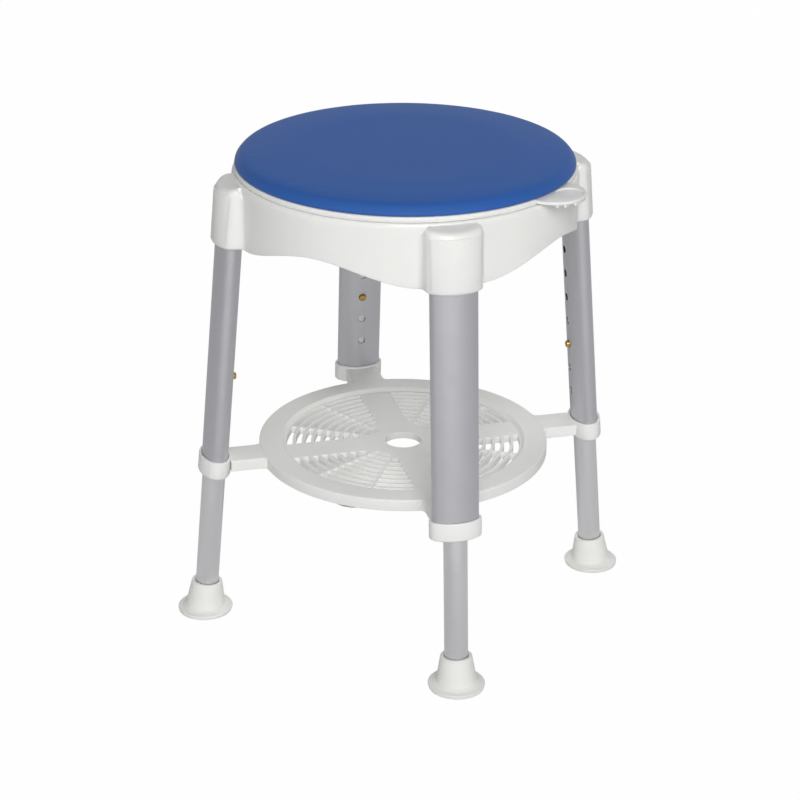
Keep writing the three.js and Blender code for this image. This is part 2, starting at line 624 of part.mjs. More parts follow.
function seatBase() {
  const notches = Array.from({ length: LATCH_STATIONS }, (_, i) => {
    const half = TOOTH_HALF_WIDTH + RUNNING_GAP;
    const cutter = block(LATCH_INNER - 1, LATCH_OUTER + 1, -half, half, DECK_Z, SEAM_Z);
    return turnedTo(cutter, (i * 360) / LATCH_STATIONS);
  });
  const aboveDeck = disc(SKIRT_RADIUS - RIM_WALL, DECK_Z, SEAM_Z + 10, RIM_SEGMENTS);
  const posts = onEachLeg(post).map((solid) => cut(solid, [aboveDeck]));
  const arches = [archCutter(), archCutter().rotateZ(Math.PI / 2)];
  const sockets = onEachLeg(() => slab(oval(GAP), alongLeg(SKIRT_BOTTOM_Z) - 10, TUBE_TOP + GAP));
  const boss = disc(BOSS_RADIUS, BOSS_BOTTOM_Z, BOSS_TOP_Z, TUBE_SEGMENTS);
  const bore = disc(BOLT_DIAMETER / 2 + GAP, BOSS_BOTTOM_Z - 1, BOSS_TOP_Z + 1, TUBE_SEGMENTS);
  const skirt = cut(join([baseShell(), boss, ...deckRibs()]), arches);
  return cut(join([skirt, ...posts]), [bore, ...notches, ...sockets, ...onEachLeg(screwHole)]);
}

// ---------------------------------------------------------------- swivel and pad
const glideRing = () =>
  ring(GLIDE_OUTER - GLIDE_WIDTH, GLIDE_OUTER, DECK_Z + GAP, DECK_Z + GAP + GLIDE_HEIGHT, RIM_SEGMENTS / 2);

const thrustWasher = () =>
  ring(
    BOLT_DIAMETER / 2 + GAP, BOSS_RADIUS, BOSS_TOP_Z + GAP, BOSS_TOP_Z + GAP + THRUST_THICKNESS, TUBE_SEGMENTS,
  );

// Two rails under the plate, with lips that carry the arm of the tab.
function tabRails() {
  const inside = TAB_ARM_HALF_WIDTH + RUNNING_GAP;
  const opening = inside - RAIL_LIP_REACH;
  const channel = TAB_ARM_BOTTOM_Z - RUNNING_GAP;
  const bottom = channel - RAIL_LIP;
  const end = RIM_RADIUS - PLATE_RIM;
  const bar = block(TOOTH_START, end + 1, -inside - RAIL_WIDTH, inside + RAIL_WIDTH, bottom, PANEL_Z + 1);
  return cut(bar, [
    block(0, RIM_RADIUS, -inside, inside, channel, PANEL_Z),
    block(0, RIM_RADIUS, -opening, opening, bottom - 1, PANEL_Z),
  ]);
}

function swivelPlate() {
  const hubBottom = BOSS_TOP_Z + 2 * GAP + THRUST_THICKNESS;
  const trackBottom = DECK_Z + GLIDE_HEIGHT + 2 * GAP;
  const plate = turned(
    [
      [0, PANEL_Z],
      [GLIDE_OUTER - GLIDE_WIDTH + 2, PANEL_Z],
      [GLIDE_OUTER - GLIDE_WIDTH + 2, trackBottom],
      [GLIDE_OUTER - 2, trackBottom],
      [GLIDE_OUTER - 2, PANEL_Z],
      [RIM_RADIUS - PLATE_RIM, PANEL_Z],
      [RIM_RADIUS - PLATE_RIM, PLATE_BOTTOM_Z],
      [RIM_RADIUS, PLATE_BOTTOM_Z],
      [RIM_RADIUS, PLATE_TOP_Z - PLATE_EDGE],
      [RIM_RADIUS - PLATE_EDGE, PLATE_TOP_Z],
      [0, PLATE_TOP_Z],
    ],
    RIM_SEGMENTS,
  );
  const hub = disc(BOSS_RADIUS, hubBottom, PLATE_TOP_Z - PLATE_THICKNESS / 2, TUBE_SEGMENTS);
  const boltHole = disc(BOLT_DIAMETER / 2 + RUNNING_GAP, hubBottom - 1, PLATE_TOP_Z + 1, TUBE_SEGMENTS);
  const recess = disc(BOLT_HEAD_RADIUS + RUNNING_GAP, HEAD_SEAT_Z - GAP, PLATE_TOP_Z + 1, TUBE_SEGMENTS);
  const half = TAB_RADIUS + RUNNING_GAP;
  const root = TAB_ROOT - TAB_TRAVEL - RUNNING_GAP;
  const bay = block(
    root, RIM_RADIUS + 10, TAB_OFFSET - half, TAB_OFFSET + half, PANEL_Z - 10, PLATE_TOP_Z + 10,
  );
  return cut(join([plate, hub, tabRails()]), [bay, boltHole, recess]);
}

function seatPad() {
  const radius = RIM_RADIUS - PAD_OVERLAP;
  const bottom = PLATE_TOP_Z + GAP;
  const top = bottom + PAD_THICKNESS;
  const rise = PAD_THICKNESS - PAD_SIDE;
  const rounding = [0, 25, 50, 70, 90].map((degrees) => {
    const turn = polar(1, THREE.MathUtils.degToRad(degrees));
    return [radius - PAD_SHOULDER * (1 - turn.x), top - rise * (1 - turn.y)];
  });
  return turned([[0, bottom], [radius - 1, bottom], [radius, bottom + PAD_SIDE / 2], ...rounding, [0, top]],
    RIM_SEGMENTS);
}

function pivotBolt() {
  const headBottom = HEAD_SEAT_Z;
  const tail = BOSS_BOTTOM_Z - 2 * GAP - WASHER_THICKNESS - NUT_HEIGHT - BOLT_TAIL;
  const body = turned(
    [
      [0, tail],
      [BOLT_DIAMETER / 2 - 0.8, tail],
      [BOLT_DIAMETER / 2, tail + 0.8],
      [BOLT_DIAMETER / 2, headBottom],
      [BOLT_HEAD_RADIUS, headBottom],
      [BOLT_HEAD_RADIUS, headBottom + BOLT_HEAD_HEIGHT * 0.7],
      [BOLT_HEAD_RADIUS * 0.85, headBottom + BOLT_HEAD_HEIGHT],
      [0, headBottom + BOLT_HEAD_HEIGHT],
    ],
    TUBE_SEGMENTS,
  );
  const key = disc(BOLT_SOCKET / Math.sqrt(3), headBottom + BOLT_HEAD_HEIGHT / 4, PLATE_TOP_Z + 1, 6);
  return cut(body, [key]);
}

const nutWasher = () => {
  const top = BOSS_BOTTOM_Z - GAP;
  return ring(BOLT_DIAMETER / 2 + GAP, BOLT_DIAMETER, top - WASHER_THICKNESS, top, TUBE_SEGMENTS);
};

function lockNut() {
  const top = BOSS_BOTTOM_Z - 2 * GAP - WASHER_THICKNESS;
  const hexagon = disc(NUT_FLATS / Math.sqrt(3), top - NUT_HEIGHT, top, 6);
  return cut(hexagon, [disc(BOLT_DIAMETER / 2 + GAP, top - NUT_HEIGHT - 1, top + 1, TUBE_SEGMENTS)]);
}

// ---------------------------------------------------------------- seat lock
// A tab at the rim that pulls out to free the seat and pushes in to lock it.
function tabPlan() {
  const shape = new THREE.Shape();
  shape.moveTo(TAB_ROOT, TAB_OFFSET - TAB_RADIUS);
  shape.lineTo(TAB_TIP - TAB_RADIUS, TAB_OFFSET - TAB_RADIUS);
  shape.absarc(TAB_TIP - TAB_RADIUS, TAB_OFFSET, TAB_RADIUS, -Math.PI / 2, Math.PI / 2);
  shape.lineTo(TAB_ROOT, TAB_OFFSET + TAB_RADIUS);
  return shape.getPoints(10);
}

function lockTab() {
  const top = PLATE_TOP_Z - TAB_TOP_DROP;
  const bottom = top - TAB_THICKNESS;
  const half = TAB_ARM_HALF_WIDTH;
  const ribs = Array.from({ length: TAB_RIB_COUNT }, (_, i) => {
    const x = TAB_TIP - 3 - i * TAB_RIB_PITCH;
    return block(x - TAB_RIB_WIDTH / 2, x + TAB_RIB_WIDTH / 2, -TAB_TIP, TAB_TIP, bottom - TAB_RIB_DEPTH, top - 1);
  });
  const underside = slab(tabPlan(), bottom - TAB_RIB_DEPTH, top);
  const arm = block(TOOTH_START, TAB_ROOT + 2, -half, half, TAB_ARM_BOTTOM_Z, TAB_ARM_TOP_Z);
  const toothEnd = TOOTH_START + TOOTH_LENGTH;
  const toothBottom = DECK_Z + TOOTH_LIFT;
  const tooth = block(
    TOOTH_START, toothEnd, -TOOTH_HALF_WIDTH, TOOTH_HALF_WIDTH, toothBottom, TAB_ARM_TOP_Z - 1,
  );
  const dish = disc(TAB_DISH_RADIUS, top - TAB_DISH_DEPTH, top + 1, TUBE_SEGMENTS);
  dish.translate(TAB_TIP - TAB_DISH_INSET, 0, 0);
  const body = join([slab(tabPlan(), bottom, top), arm, tooth, ...ribs.map((rib) => common(rib, underside))]);
  return cut(body, [dish]);
}

// ---------------------------------------------------------------- assembly
const finish = (color, roughness, metalness) =>
  new THREE.MeshStandardMaterial({ color, roughness, metalness });
const finishes = {
  pad: () => finish(0x3a62a8, 0.75, 0),
  whitePlastic: () => finish(0xf0f0ec, 0.35, 0),
  nylon: () => finish(0xdcdcd6, 0.5, 0),
  acetal: () => finish(0xe6e6e0, 0.3, 0),
  aluminium: () => finish(0xb9babd, 0.45, 0.9),
  brass: () => finish(0xc9a24a, 0.3, 1),
  steel: () => finish(0x9b9da0, 0.35, 1),
  springSteel: () => finish(0x7d8086, 0.3, 1),
  rubber: () => finish(0xeceae4, 0.7, 0),
};

const stool = new THREE.Group();

function addPart(name, geometry, material, parent = stool) {
  const mesh = new THREE.Mesh(geometry, material);
  mesh.name = name;
  parent.add(mesh);
}

addPart("seat_pad", seatPad(), finishes.pad());
addPart("swivel_plate", swivelPlate(), finishes.whitePlastic());
addPart("lock_tab", lockTab(), finishes.whitePlastic());
addPart("glide_ring", glideRing(), finishes.acetal());
addPart("thrust_washer", thrustWasher(), finishes.acetal());
addPart("pivot_bolt", pivotBolt(), finishes.steel());
addPart("nut_washer", nutWasher(), finishes.steel());
addPart("lock_nut", lockNut(), finishes.steel());
addPart("seat_base", seatBase(), finishes.whitePlastic());
addPart("shelf_tray", shelfTray(), finishes.whitePlastic());

for (const leg of LEGS) {
  const upright = new THREE.Group();
  upright.rotation.z = THREE.MathUtils.degToRad(leg.azimuthDeg);
  stool.add(upright);
  addPart(`foot_${leg.side}`, foot(), finishes.rubber(), upright);

  const leaning = new THREE.Group();
  leaning.position.x = LEG_CIRCLE_RADIUS;
  leaning.rotation.y = -LEG_TILT;
  upright.add(leaning);
  addPart(`outer_leg_${leg.side}`, outerLeg(), finishes.aluminium(), leaning);
  addPart(`leg_extension_${leg.side}`, legExtension(), finishes.aluminium(), leaning);
  addPart(`leg_guide_${leg.side}`, legGuide(), finishes.nylon(), leaning);
  addPart(`leg_bush_${leg.side}`, legBush(), finishes.nylon(), leaning);
  addPart(`snap_button_${leg.side}`, snapButton(), finishes.brass(), leaning);
  addPart(`button_spring_${leg.side}`, buttonSpring(), finishes.springSteel(), leaning);
  addPart(`leg_screw_${leg.side}`, legScrew(), finishes.steel(), leaning);
}

export default stool;
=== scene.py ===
"""Shower stool: its visible surfaces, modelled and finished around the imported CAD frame.

Sizes are in millimetres and turned to metres where a mesh is made. +Z is up, the origin lies on the floor
under the swivel axis, and the lock tab points along +X. The legs stand on the diagonals and lean inwards.
"""

from __future__ import annotations

import json
import logging
import math
from dataclasses import dataclass, field
from enum import Enum
from typing import Callable, Iterable, Sequence

import bmesh
import bpy
from mathutils import Matrix, Vector

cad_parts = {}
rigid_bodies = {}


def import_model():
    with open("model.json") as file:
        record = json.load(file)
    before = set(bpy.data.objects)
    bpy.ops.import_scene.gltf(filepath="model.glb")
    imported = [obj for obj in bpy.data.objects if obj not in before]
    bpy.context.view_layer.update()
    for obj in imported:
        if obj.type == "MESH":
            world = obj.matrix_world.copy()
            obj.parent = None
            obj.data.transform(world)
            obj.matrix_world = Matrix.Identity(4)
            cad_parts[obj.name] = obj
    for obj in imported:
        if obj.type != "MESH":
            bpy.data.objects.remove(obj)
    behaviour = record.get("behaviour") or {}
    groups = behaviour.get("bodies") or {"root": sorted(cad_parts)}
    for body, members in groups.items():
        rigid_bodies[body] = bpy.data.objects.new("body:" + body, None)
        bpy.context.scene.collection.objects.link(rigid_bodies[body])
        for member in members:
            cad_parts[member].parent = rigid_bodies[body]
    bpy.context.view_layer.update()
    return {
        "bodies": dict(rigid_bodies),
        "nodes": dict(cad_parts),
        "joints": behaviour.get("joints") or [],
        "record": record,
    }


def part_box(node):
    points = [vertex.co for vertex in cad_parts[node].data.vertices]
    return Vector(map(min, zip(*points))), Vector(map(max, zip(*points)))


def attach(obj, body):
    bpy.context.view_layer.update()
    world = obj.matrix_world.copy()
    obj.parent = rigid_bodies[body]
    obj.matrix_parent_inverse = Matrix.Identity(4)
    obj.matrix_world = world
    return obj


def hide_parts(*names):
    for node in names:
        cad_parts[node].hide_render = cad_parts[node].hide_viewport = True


LOG = logging.getLogger("shower_stool")
MM = 0.001

Corner = tuple[float, float, float]
Ring = list[Vector]
Object = bpy.types.Object
Material = bpy.types.Material


# ------------------------------------------------------------------------------------------ workshop
def put_tools_down() -> None:
    """Leaves edit mode and deselects everything."""
    if bpy.context.object is not None and bpy.context.object.mode != "OBJECT":
        bpy.ops.object.mode_set(mode="OBJECT")
    bpy.ops.object.select_all(action="DESELECT")


def take(*pieces: Object) -> Object:
    """Selects pieces and makes the first one active.

    Args:
        pieces: the pieces to work on.

    Returns:
        The first piece.
    """
    put_tools_down()
    for piece in pieces:
        piece.select_set(True)
    bpy.context.view_layer.objects.active = pieces[0]
    return pieces[0]


def arc_corner(before: Vector, corner: Vector, after: Vector, radius: float, steps: int) -> Ring:
    """Rounds one corner of an outline.

    Args:
        before: the point before the corner.
        corner: the corner itself.
        after: the point after it.
        radius: radius of the rounding; it is limited to what the two sides allow.
        steps: how many straight pieces make up the arc.

    Returns:
        The points of the arc, or the corner alone where nothing is to be rounded.
    """
    back, ahead = before - corner, after - corner
    if radius <= 0.0 or back.length < 1e-9 or ahead.length < 1e-9:
        return [corner.copy()]
    half = back.angle(ahead) / 2
    if half > math.radians(89.5):
        return [corner.copy()]
    reach = min(radius / math.tan(half), back.length * 0.49, ahead.length * 0.49)
    start, end = corner + back.normalized() * reach, corner + ahead.normalized() * reach
    centre = corner + (back.normalized() + ahead.normalized()).normalized() * (reach / math.cos(half))
    first, last = start - centre, end - centre
    turn = first.angle(last)
    points = []
    for i in range(steps + 1):
        share = i / steps
        low, high = math.sin((1 - share) * turn), math.sin(share * turn)
        points.append(centre + (first * low + last * high) / math.sin(turn))
    return points


def rounded(corners: Sequence[Corner], steps: int = 5) -> Ring:
    """Outline of a closed section with rounded corners.

    Args:
        corners: (distance, height, radius) of each corner in order.
        steps: how many straight pieces make up each arc.

    Returns:
        The points of the outline, in the XZ plane.
    """
    spots = [Vector((x, 0.0, z)) for x, z, _ in corners]
    outline: Ring = []
    for i, (_, _, radius) in enumerate(corners):
        outline += arc_corner(spots[i - 1], spots[i], spots[(i + 1) % len(spots)], radius, steps)
    return outline


def drawn_ring(name: str, ring: Sequence[Vector]) -> Object:
    """Draws a closed wire and leaves it in edit mode, all selected.

    Args:
        name: name of the new piece.
        ring: its points in millimetres.

    Returns:
        The piece.
    """
    put_tools_down()
    bpy.ops.mesh.primitive_circle_add(vertices=len(ring), radius=1.0, fill_type="NOTHING")
    piece = bpy.context.object
    piece.name = name
    piece.data.name = name
    for vertex, spot in zip(piece.data.vertices, ring):
        vertex.co = spot * MM
    bpy.ops.object.mode_set(mode="EDIT")
    bpy.ops.mesh.select_all(action="SELECT")
    return piece


def closed_up(piece: Object, merge: float = 1e-6) -> Object:
    """Merges doubles, turns the faces outwards and leaves edit mode.

    Args:
        piece: a piece in edit mode.
        merge: distance below which points become one, in metres.

    Returns:
        The piece.
    """
    bpy.ops.mesh.select_all(action="SELECT")
    bpy.ops.mesh.remove_doubles(threshold=merge)
    bpy.ops.mesh.dissolve_degenerate(threshold=merge)
    bpy.ops.mesh.select_all(action="SELECT")
    bpy.ops.mesh.normals_make_consistent(inside=False)
    bpy.ops.object.mode_set(mode="OBJECT")
    return piece


def turned(name: str, corners: Sequence[Corner], around: int = 128, arc_steps: int = 5) -> Object:
    """Turns a closed section about the swivel axis, as on a lathe.

    Args:
        name: name of the new piece.
        corners: (radius, height, rounding) of each corner of the section.
        around: how many steps make the full turn.
        arc_steps: how many straight pieces make up each rounding.

    Returns:
        The closed piece.
    """
    piece = drawn_ring(name, rounded(corners, arc_steps))
    bpy.ops.mesh.spin(steps=around, angle=math.tau, center=(0, 0, 0), axis=(0, 0, 1))
    return closed_up(piece)


def led_to(piece: Object, order: dict[int, int], ring: Ring, as_face: bool = False) -> dict[int, int]:
    """Extrudes what is selected once, and leads each new point to its place in a ring.

    Args:
        piece: a piece in edit mode, with a closed wire or a face selected.
        order: for each selected vertex, its number in the ring.
        ring: where the new points go, in millimetres.
        as_face: extrudes a face instead of a wire.

    Returns:
        The order of the new vertices.
    """
    if as_face:
        bpy.ops.mesh.extrude_region_move()
    else:
        bpy.ops.mesh.extrude_edges_move()
    mesh = bmesh.from_edit_mesh(piece.data)
    mesh.verts.index_update()
    moved: dict[int, int] = {}
    for vertex in (v for v in mesh.verts if v.select):
        others = (edge.other_vert(vertex) for edge in vertex.link_edges)
        source = next(other.index for other in others if not other.select and other.index in order)
        moved[vertex.index] = order[source]
        vertex.co = ring[order[source]] * MM
    bmesh.update_edit_mesh(piece.data)
    return moved


def wound(name: str, rings: Sequence[Ring], endless: bool = False) -> Object:
    """Builds a skin ring by ring: each one is extruded from the last and led to its place.

    Args:
        name: name of the new piece.
        rings: closed rings with the same number of points, in millimetres.
        endless: joins the last ring to the first instead of closing both ends with a face.

    Returns:
        The closed piece.
    """
    piece = drawn_ring(name, rings[0])
    if not endless:
        bpy.ops.mesh.edge_face_add()
        bpy.ops.mesh.select_all(action="SELECT")
    order = {index: index for index in range(len(rings[0]))}
    for ring in rings[1:]:
        order = led_to(piece, order, ring, as_face=not endless)
    if endless:
        mesh = bmesh.from_edit_mesh(piece.data)
        for edge in mesh.edges:
            edge.select_set(edge.is_boundary)
        bmesh.update_edit_mesh(piece.data)
        bpy.ops.mesh.bridge_edge_loops()
    return closed_up(piece)


def block(name: str, low: Vector, high: Vector, softened: float = 0.0) -> Object:
    """A bar with softened edges.

    Args:
        name: name of the new piece.
        low: its lowest corner in millimetres.
        high: its highest corner in millimetres.
        softened: radius of its edges.

    Returns:
        The piece.
    """
    put_tools_down()
    bpy.ops.mesh.primitive_cube_add(size=1.0)
    piece = bpy.context.object
    piece.name = name
    span = high - low
    for vertex in piece.data.vertices:
        share = vertex.co + Vector((0.5, 0.5, 0.5))
        vertex.co = Vector(low[i] + share[i] * span[i] for i in range(3)) * MM
    if softened > 0.0:
        bpy.ops.object.mode_set(mode="EDIT")
        bpy.ops.mesh.select_all(action="SELECT")
        bpy.ops.mesh.bevel(offset=softened * MM, segments=3, affect="EDGES")
        closed_up(piece)
    return piece


def cut_away(piece: Object, cutters: Sequence[Object], solver: str = "EXACT") -> Object:
    """Cuts the shapes of cutters out of a piece and throws the cutters away.

    Args:
        piece: the piece to cut.
        cutters: closed shapes.
        solver: which of the Boolean modifier's solvers is used.

    Returns:
        The piece.
    """
    tool = joined("cutter", list(cutters))
    take(piece)
    carve = piece.modifiers.new("Carve", "BOOLEAN")
    carve.operation = "DIFFERENCE"
    carve.solver = solver
    carve.object = tool
    bpy.ops.object.modifier_apply(modifier=carve.name)
    bpy.data.objects.remove(tool, do_unlink=True)
    return piece


def joined(name: str, pieces: Sequence[Object]) -> Object:
    """Joins pieces into one object.

    Args:
        name: name of the result.
        pieces: what is joined.

    Returns:
        The joined piece.
    """
    whole = take(*pieces)
    if len(pieces) > 1:
        bpy.ops.object.join()
    whole.name = name
    whole.data.name = name
    return whole


def softened_edges(piece: Object, width: float, segments: int = 2, angle: float = 35.0) -> Object:
    """Rounds the sharp edges of a piece with a bevel modifier, and applies it.

    Args:
        piece: the piece.
        width: width of the rounding in millimetres.
        segments: steps of the rounding.
        angle: edges sharper than this many degrees are rounded.

    Returns:
        The piece.
    """
    take(piece)
    bevel = piece.modifiers.new("Edges", "BEVEL")
    bevel.width = width * MM
    bevel.segments = segments
    bevel.limit_method = "ANGLE"
    bevel.angle_limit = math.radians(angle)
    bevel.use_clamp_overlap = True
    bpy.ops.object.modifier_apply(modifier=bevel.name)
    return piece


def smoothed(piece: Object, angle: float = 40.0) -> Object:
    """Shades a piece smooth, with a crease where faces meet at more than the angle.

    Args:
        piece: the piece.
        angle: crease angle in degrees.

    Returns:
        The piece.
    """
    take(piece)
    bpy.ops.object.shade_smooth_by_angle(angle=math.radians(angle))
    return piece


def set_in_place(piece: Object, place: Matrix) -> Object:
    """Moves the mesh of a piece, so that its object stays at the origin.

    Args:
        piece: the piece.
        place: where it goes; lengths in metres.

    Returns:
        The piece.
    """
    piece.data.transform(place)
    if place.determinant() < 0.0:
        piece.data.flip_normals()
    piece.data.update()
    return piece


def copied(piece: Object, name: str) -> Object:
    """Copies a piece with a mesh of its own.

    Args:
        piece: what is copied.
        name: name of the copy.

    Returns:
        The copy.
    """
    twin = piece.copy()
    twin.data = piece.data.copy()
    twin.name = name
    twin.data.name = name
    bpy.context.collection.objects.link(twin)
    return twin


# ------------------------------------------------------------------------------------------ finishes
def sheet_colour(code: str) -> tuple[float, float, float, float]:
    """Turns an sRGB hex value to a linear colour.

    Args:
        code: six hex digits.

    Returns:
        Red, green, blue and alpha.
    """
    linear = []
    for i in (0, 2, 4):
        value = int(code[i : i + 2], 16) / 255
        linear.append(value / 12.92 if value <= 0.04045 else ((value + 0.055) / 1.055) ** 2.4)
    return (linear[0], linear[1], linear[2], 1.0)


def node(tree: bpy.types.NodeTree, kind: str, settings: dict | None = None, **links) -> bpy.types.Node:
    """Adds a shader node.

    Args:
        tree: the node tree.
        kind: the node's type name.
        settings: properties by name, and input defaults by "input name" given as (name,) keys.
        links: input names (with _ for a space) to the output socket that feeds them.

    Returns:
        The new node.
    """
    made = tree.nodes.new(kind)
    for key, value in (settings or {}).items():
        if isinstance(key, tuple):
            made.inputs[key[0]].default_value = value
        else:
            setattr(made, key, value)
    for key, socket in links.items():
        name = key.replace("_", " ")
        by_place = key.startswith("in") and key[2:].isdigit()
        tree.links.new(socket, made.inputs[int(key[2:])] if by_place else made.inputs[name])
    return made


def fresh(name: str) -> tuple[Material, bpy.types.NodeTree]:
    """Makes an empty node material.

    Args:
        name: its name.

    Returns:
        The material and its tree.
    """
    material = bpy.data.materials.new(name)
    material.use_nodes = True
    material.node_tree.nodes.clear()
    return material, material.node_tree


@dataclass(frozen=True)
class MouldedPlastic:
    """Injection-moulded plastic: an even body colour, a fine spark-eroded grain, slow waves of the mould
    and faint cloudiness, which break up the highlights."""

    name: str
    colour: str
    shade: str
    roughness: float
    grain: float  # mm between the grains of the moulded surface
    depth: float  # mm that the grain is deep
    subsurface: float = 0.0
    ior: float = 1.53

    def material(self) -> Material:
        """Builds the material."""
        material, tree = fresh(self.name)
        place = node(tree, "ShaderNodeTexCoord").outputs["Object"]
        cloud = node(tree, "ShaderNodeTexNoise", {("Scale",): 14.0, ("Detail",): 3.0}, Vector=place)
        tone = node(tree, "ShaderNodeMix", {"data_type": "RGBA"})
        tone.inputs[6].default_value = sheet_colour(self.colour)
        tone.inputs[7].default_value = sheet_colour(self.shade)
        spread = node(
            tree, "ShaderNodeMapRange",
            {("From Min",): 0.35, ("From Max",): 0.75, ("To Min",): 0.0, ("To Max",): 1.0},
            Value=cloud.outputs["Fac"],
        )
        tree.links.new(spread.outputs["Result"], tone.inputs[0])
        grain = node(
            tree, "ShaderNodeTexNoise",
            {("Scale",): 1.0 / (self.grain * MM), ("Detail",): 2.0, ("Roughness",): 0.6},
            Vector=place,
        )
        waves = node(tree, "ShaderNodeTexNoise", {("Scale",): 28.0, ("Detail",): 1.0}, Vector=place)
        gloss = node(
            tree, "ShaderNodeMapRange",
            {("From Min",): 0.3, ("From Max",): 0.7,
             ("To Min",): self.roughness - 0.05, ("To Max",): self.roughness + 0.06},
            Value=grain.outputs["Fac"],
        )
        fine = node(
            tree, "ShaderNodeBump", {("Strength",): 0.5, ("Distance",): self.depth * MM},
            Height=grain.outputs["Fac"],
        )
        slow = node(
            tree, "ShaderNodeBump", {("Strength",): 0.35, ("Distance",): 0.4 * MM},
            Height=waves.outputs["Fac"], Normal=fine.outputs["Normal"],
        )
        shader = node(
            tree, "ShaderNodeBsdfPrincipled",
            {("IOR",): self.ior, ("Subsurface Weight",): self.subsurface,
             ("Subsurface Radius",): (0.006, 0.006, 0.005)},
            Base_Color=tone.outputs[2], Roughness=gloss.outputs["Result"], Normal=slow.outputs["Normal"],
        )
        node(tree, "ShaderNodeOutputMaterial", Surface=shader.outputs["BSDF"])
        return material


@dataclass(frozen=True)
class PadFoam:
    """Closed-cell foam under a woven skin: a fine crossed weave, a dull haze of fibres that pales the colour
    where it is seen at a low angle, and slightly uneven dye."""

    name: str = "woven_skin_foam_blue"
    colour: str = "1B5AB0"
    faded: str = "2C5CA0"
    thread: float = 2.1  # mm between the pressed threads, drawn coarser than the 0.7 mm of the real ones
    pore: float = 1.6  # mm between the pores of the skin
    roughness: float = 0.7

    def material(self) -> Material:
        """Builds the material."""
        material, tree = fresh(self.name)
        place = node(tree, "ShaderNodeTexCoord").outputs["Object"]
        turned_weave = node(
            tree, "ShaderNodeMapping", {("Rotation",): (0.0, 0.0, math.radians(15))}, Vector=place,
        ).outputs["Vector"]
        bands = [
            node(
                tree, "ShaderNodeTexWave",
                {"wave_type": "BANDS", "bands_direction": direction,
                 ("Scale",): math.pi / 10 / (self.thread * MM), ("Distortion",): 1.4,
                 ("Detail",): 2.0, ("Detail Scale",): 0.6},
                Vector=turned_weave,
            ).outputs["Fac"]
            for direction in ("X", "Y")
        ]
        weave = node(tree, "ShaderNodeMath", {"operation": "MULTIPLY"}, in0=bands[0], in1=bands[1])
        pores = node(
            tree, "ShaderNodeTexNoise", {("Scale",): 1.0 / (self.pore * MM), ("Detail",): 3.0}, Vector=place,
        )
        dye = node(tree, "ShaderNodeTexNoise", {("Scale",): 8.0, ("Detail",): 3.0}, Vector=place)
        speckle = node(
            tree, "ShaderNodeMath", {"operation": "ADD"},
            in0=pores.outputs["Fac"], in1=weave.outputs["Value"],
        )
        uneven = node(
            tree, "ShaderNodeMath", {"operation": "ADD"},
            in0=speckle.outputs["Value"], in1=dye.outputs["Fac"],
        )
        share = node(
            tree, "ShaderNodeMapRange",
            {("From Min",): 0.7, ("From Max",): 1.9, ("To Min",): 0.0, ("To Max",): 1.0},
            Value=uneven.outputs["Value"],
        )
        tone = node(tree, "ShaderNodeMix", {"data_type": "RGBA"})
        tone.inputs[6].default_value = sheet_colour(self.colour)
        tone.inputs[7].default_value = sheet_colour(self.faded)
        tree.links.new(share.outputs["Result"], tone.inputs[0])
        pressed = node(
            tree, "ShaderNodeBump", {("Strength",): 0.3, ("Distance",): 0.2 * MM},
            Height=weave.outputs["Value"],
        )
        pitted = node(
            tree, "ShaderNodeBump", {("Strength",): 0.35, ("Distance",): 0.2 * MM},
            Height=pores.outputs["Fac"], Normal=pressed.outputs["Normal"],
        )
        shader = node(
            tree, "ShaderNodeBsdfPrincipled",
            {("Roughness",): self.roughness, ("IOR",): 1.45, ("Sheen Weight",): 0.12,
             ("Sheen Roughness",): 0.45},
            Base_Color=tone.outputs[2], Normal=pitted.outputs["Normal"],
        )
        node(tree, "ShaderNodeOutputMaterial", Surface=shader.outputs["BSDF"])
        return material


@dataclass(frozen=True)
class DrawnMetal:
    """Metal with a fine directional grain: lines of extrusion or drawing along Z, satin or bright."""

    name: str
    colour: str
    roughness: float
    line: float  # mm between the lines of the grain
    metallic: float = 1.0

    def material(self) -> Material:
        """Builds the material."""
        material, tree = fresh(self.name)
        place = node(tree, "ShaderNodeTexCoord").outputs["Object"]
        stretch = node(
            tree, "ShaderNodeMapping", {("Scale",): (1.0, 1.0, 0.012)}, Vector=place,
        )
        lines = node(
            tree, "ShaderNodeTexNoise",
            {("Scale",): 1.0 / (self.line * MM), ("Detail",): 3.0, ("Roughness",): 0.55},
            Vector=stretch.outputs["Vector"],
        )
        mottle = node(tree, "ShaderNodeTexNoise", {("Scale",): 60.0, ("Detail",): 2.0}, Vector=place)
        both = node(
            tree, "ShaderNodeMath", {"operation": "ADD"}, in0=lines.outputs["Fac"], in1=mottle.outputs["Fac"],
        )
        gloss = node(
            tree, "ShaderNodeMapRange",
            {("From Min",): 0.7, ("From Max",): 1.3,
             ("To Min",): self.roughness - 0.05, ("To Max",): self.roughness + 0.05},
            Value=both.outputs["Value"],
        )
        bump = node(
            tree, "ShaderNodeBump", {("Strength",): 0.25, ("Distance",): 0.05 * MM},
            Height=lines.outputs["Fac"],
        )
        shader = node(
            tree, "ShaderNodeBsdfPrincipled",
            {("Base Color",): sheet_colour(self.colour), ("Metallic",): self.metallic},
            Roughness=gloss.outputs["Result"], Normal=bump.outputs["Normal"],
        )
        node(tree, "ShaderNodeOutputMaterial", Surface=shader.outputs["BSDF"])
        return material


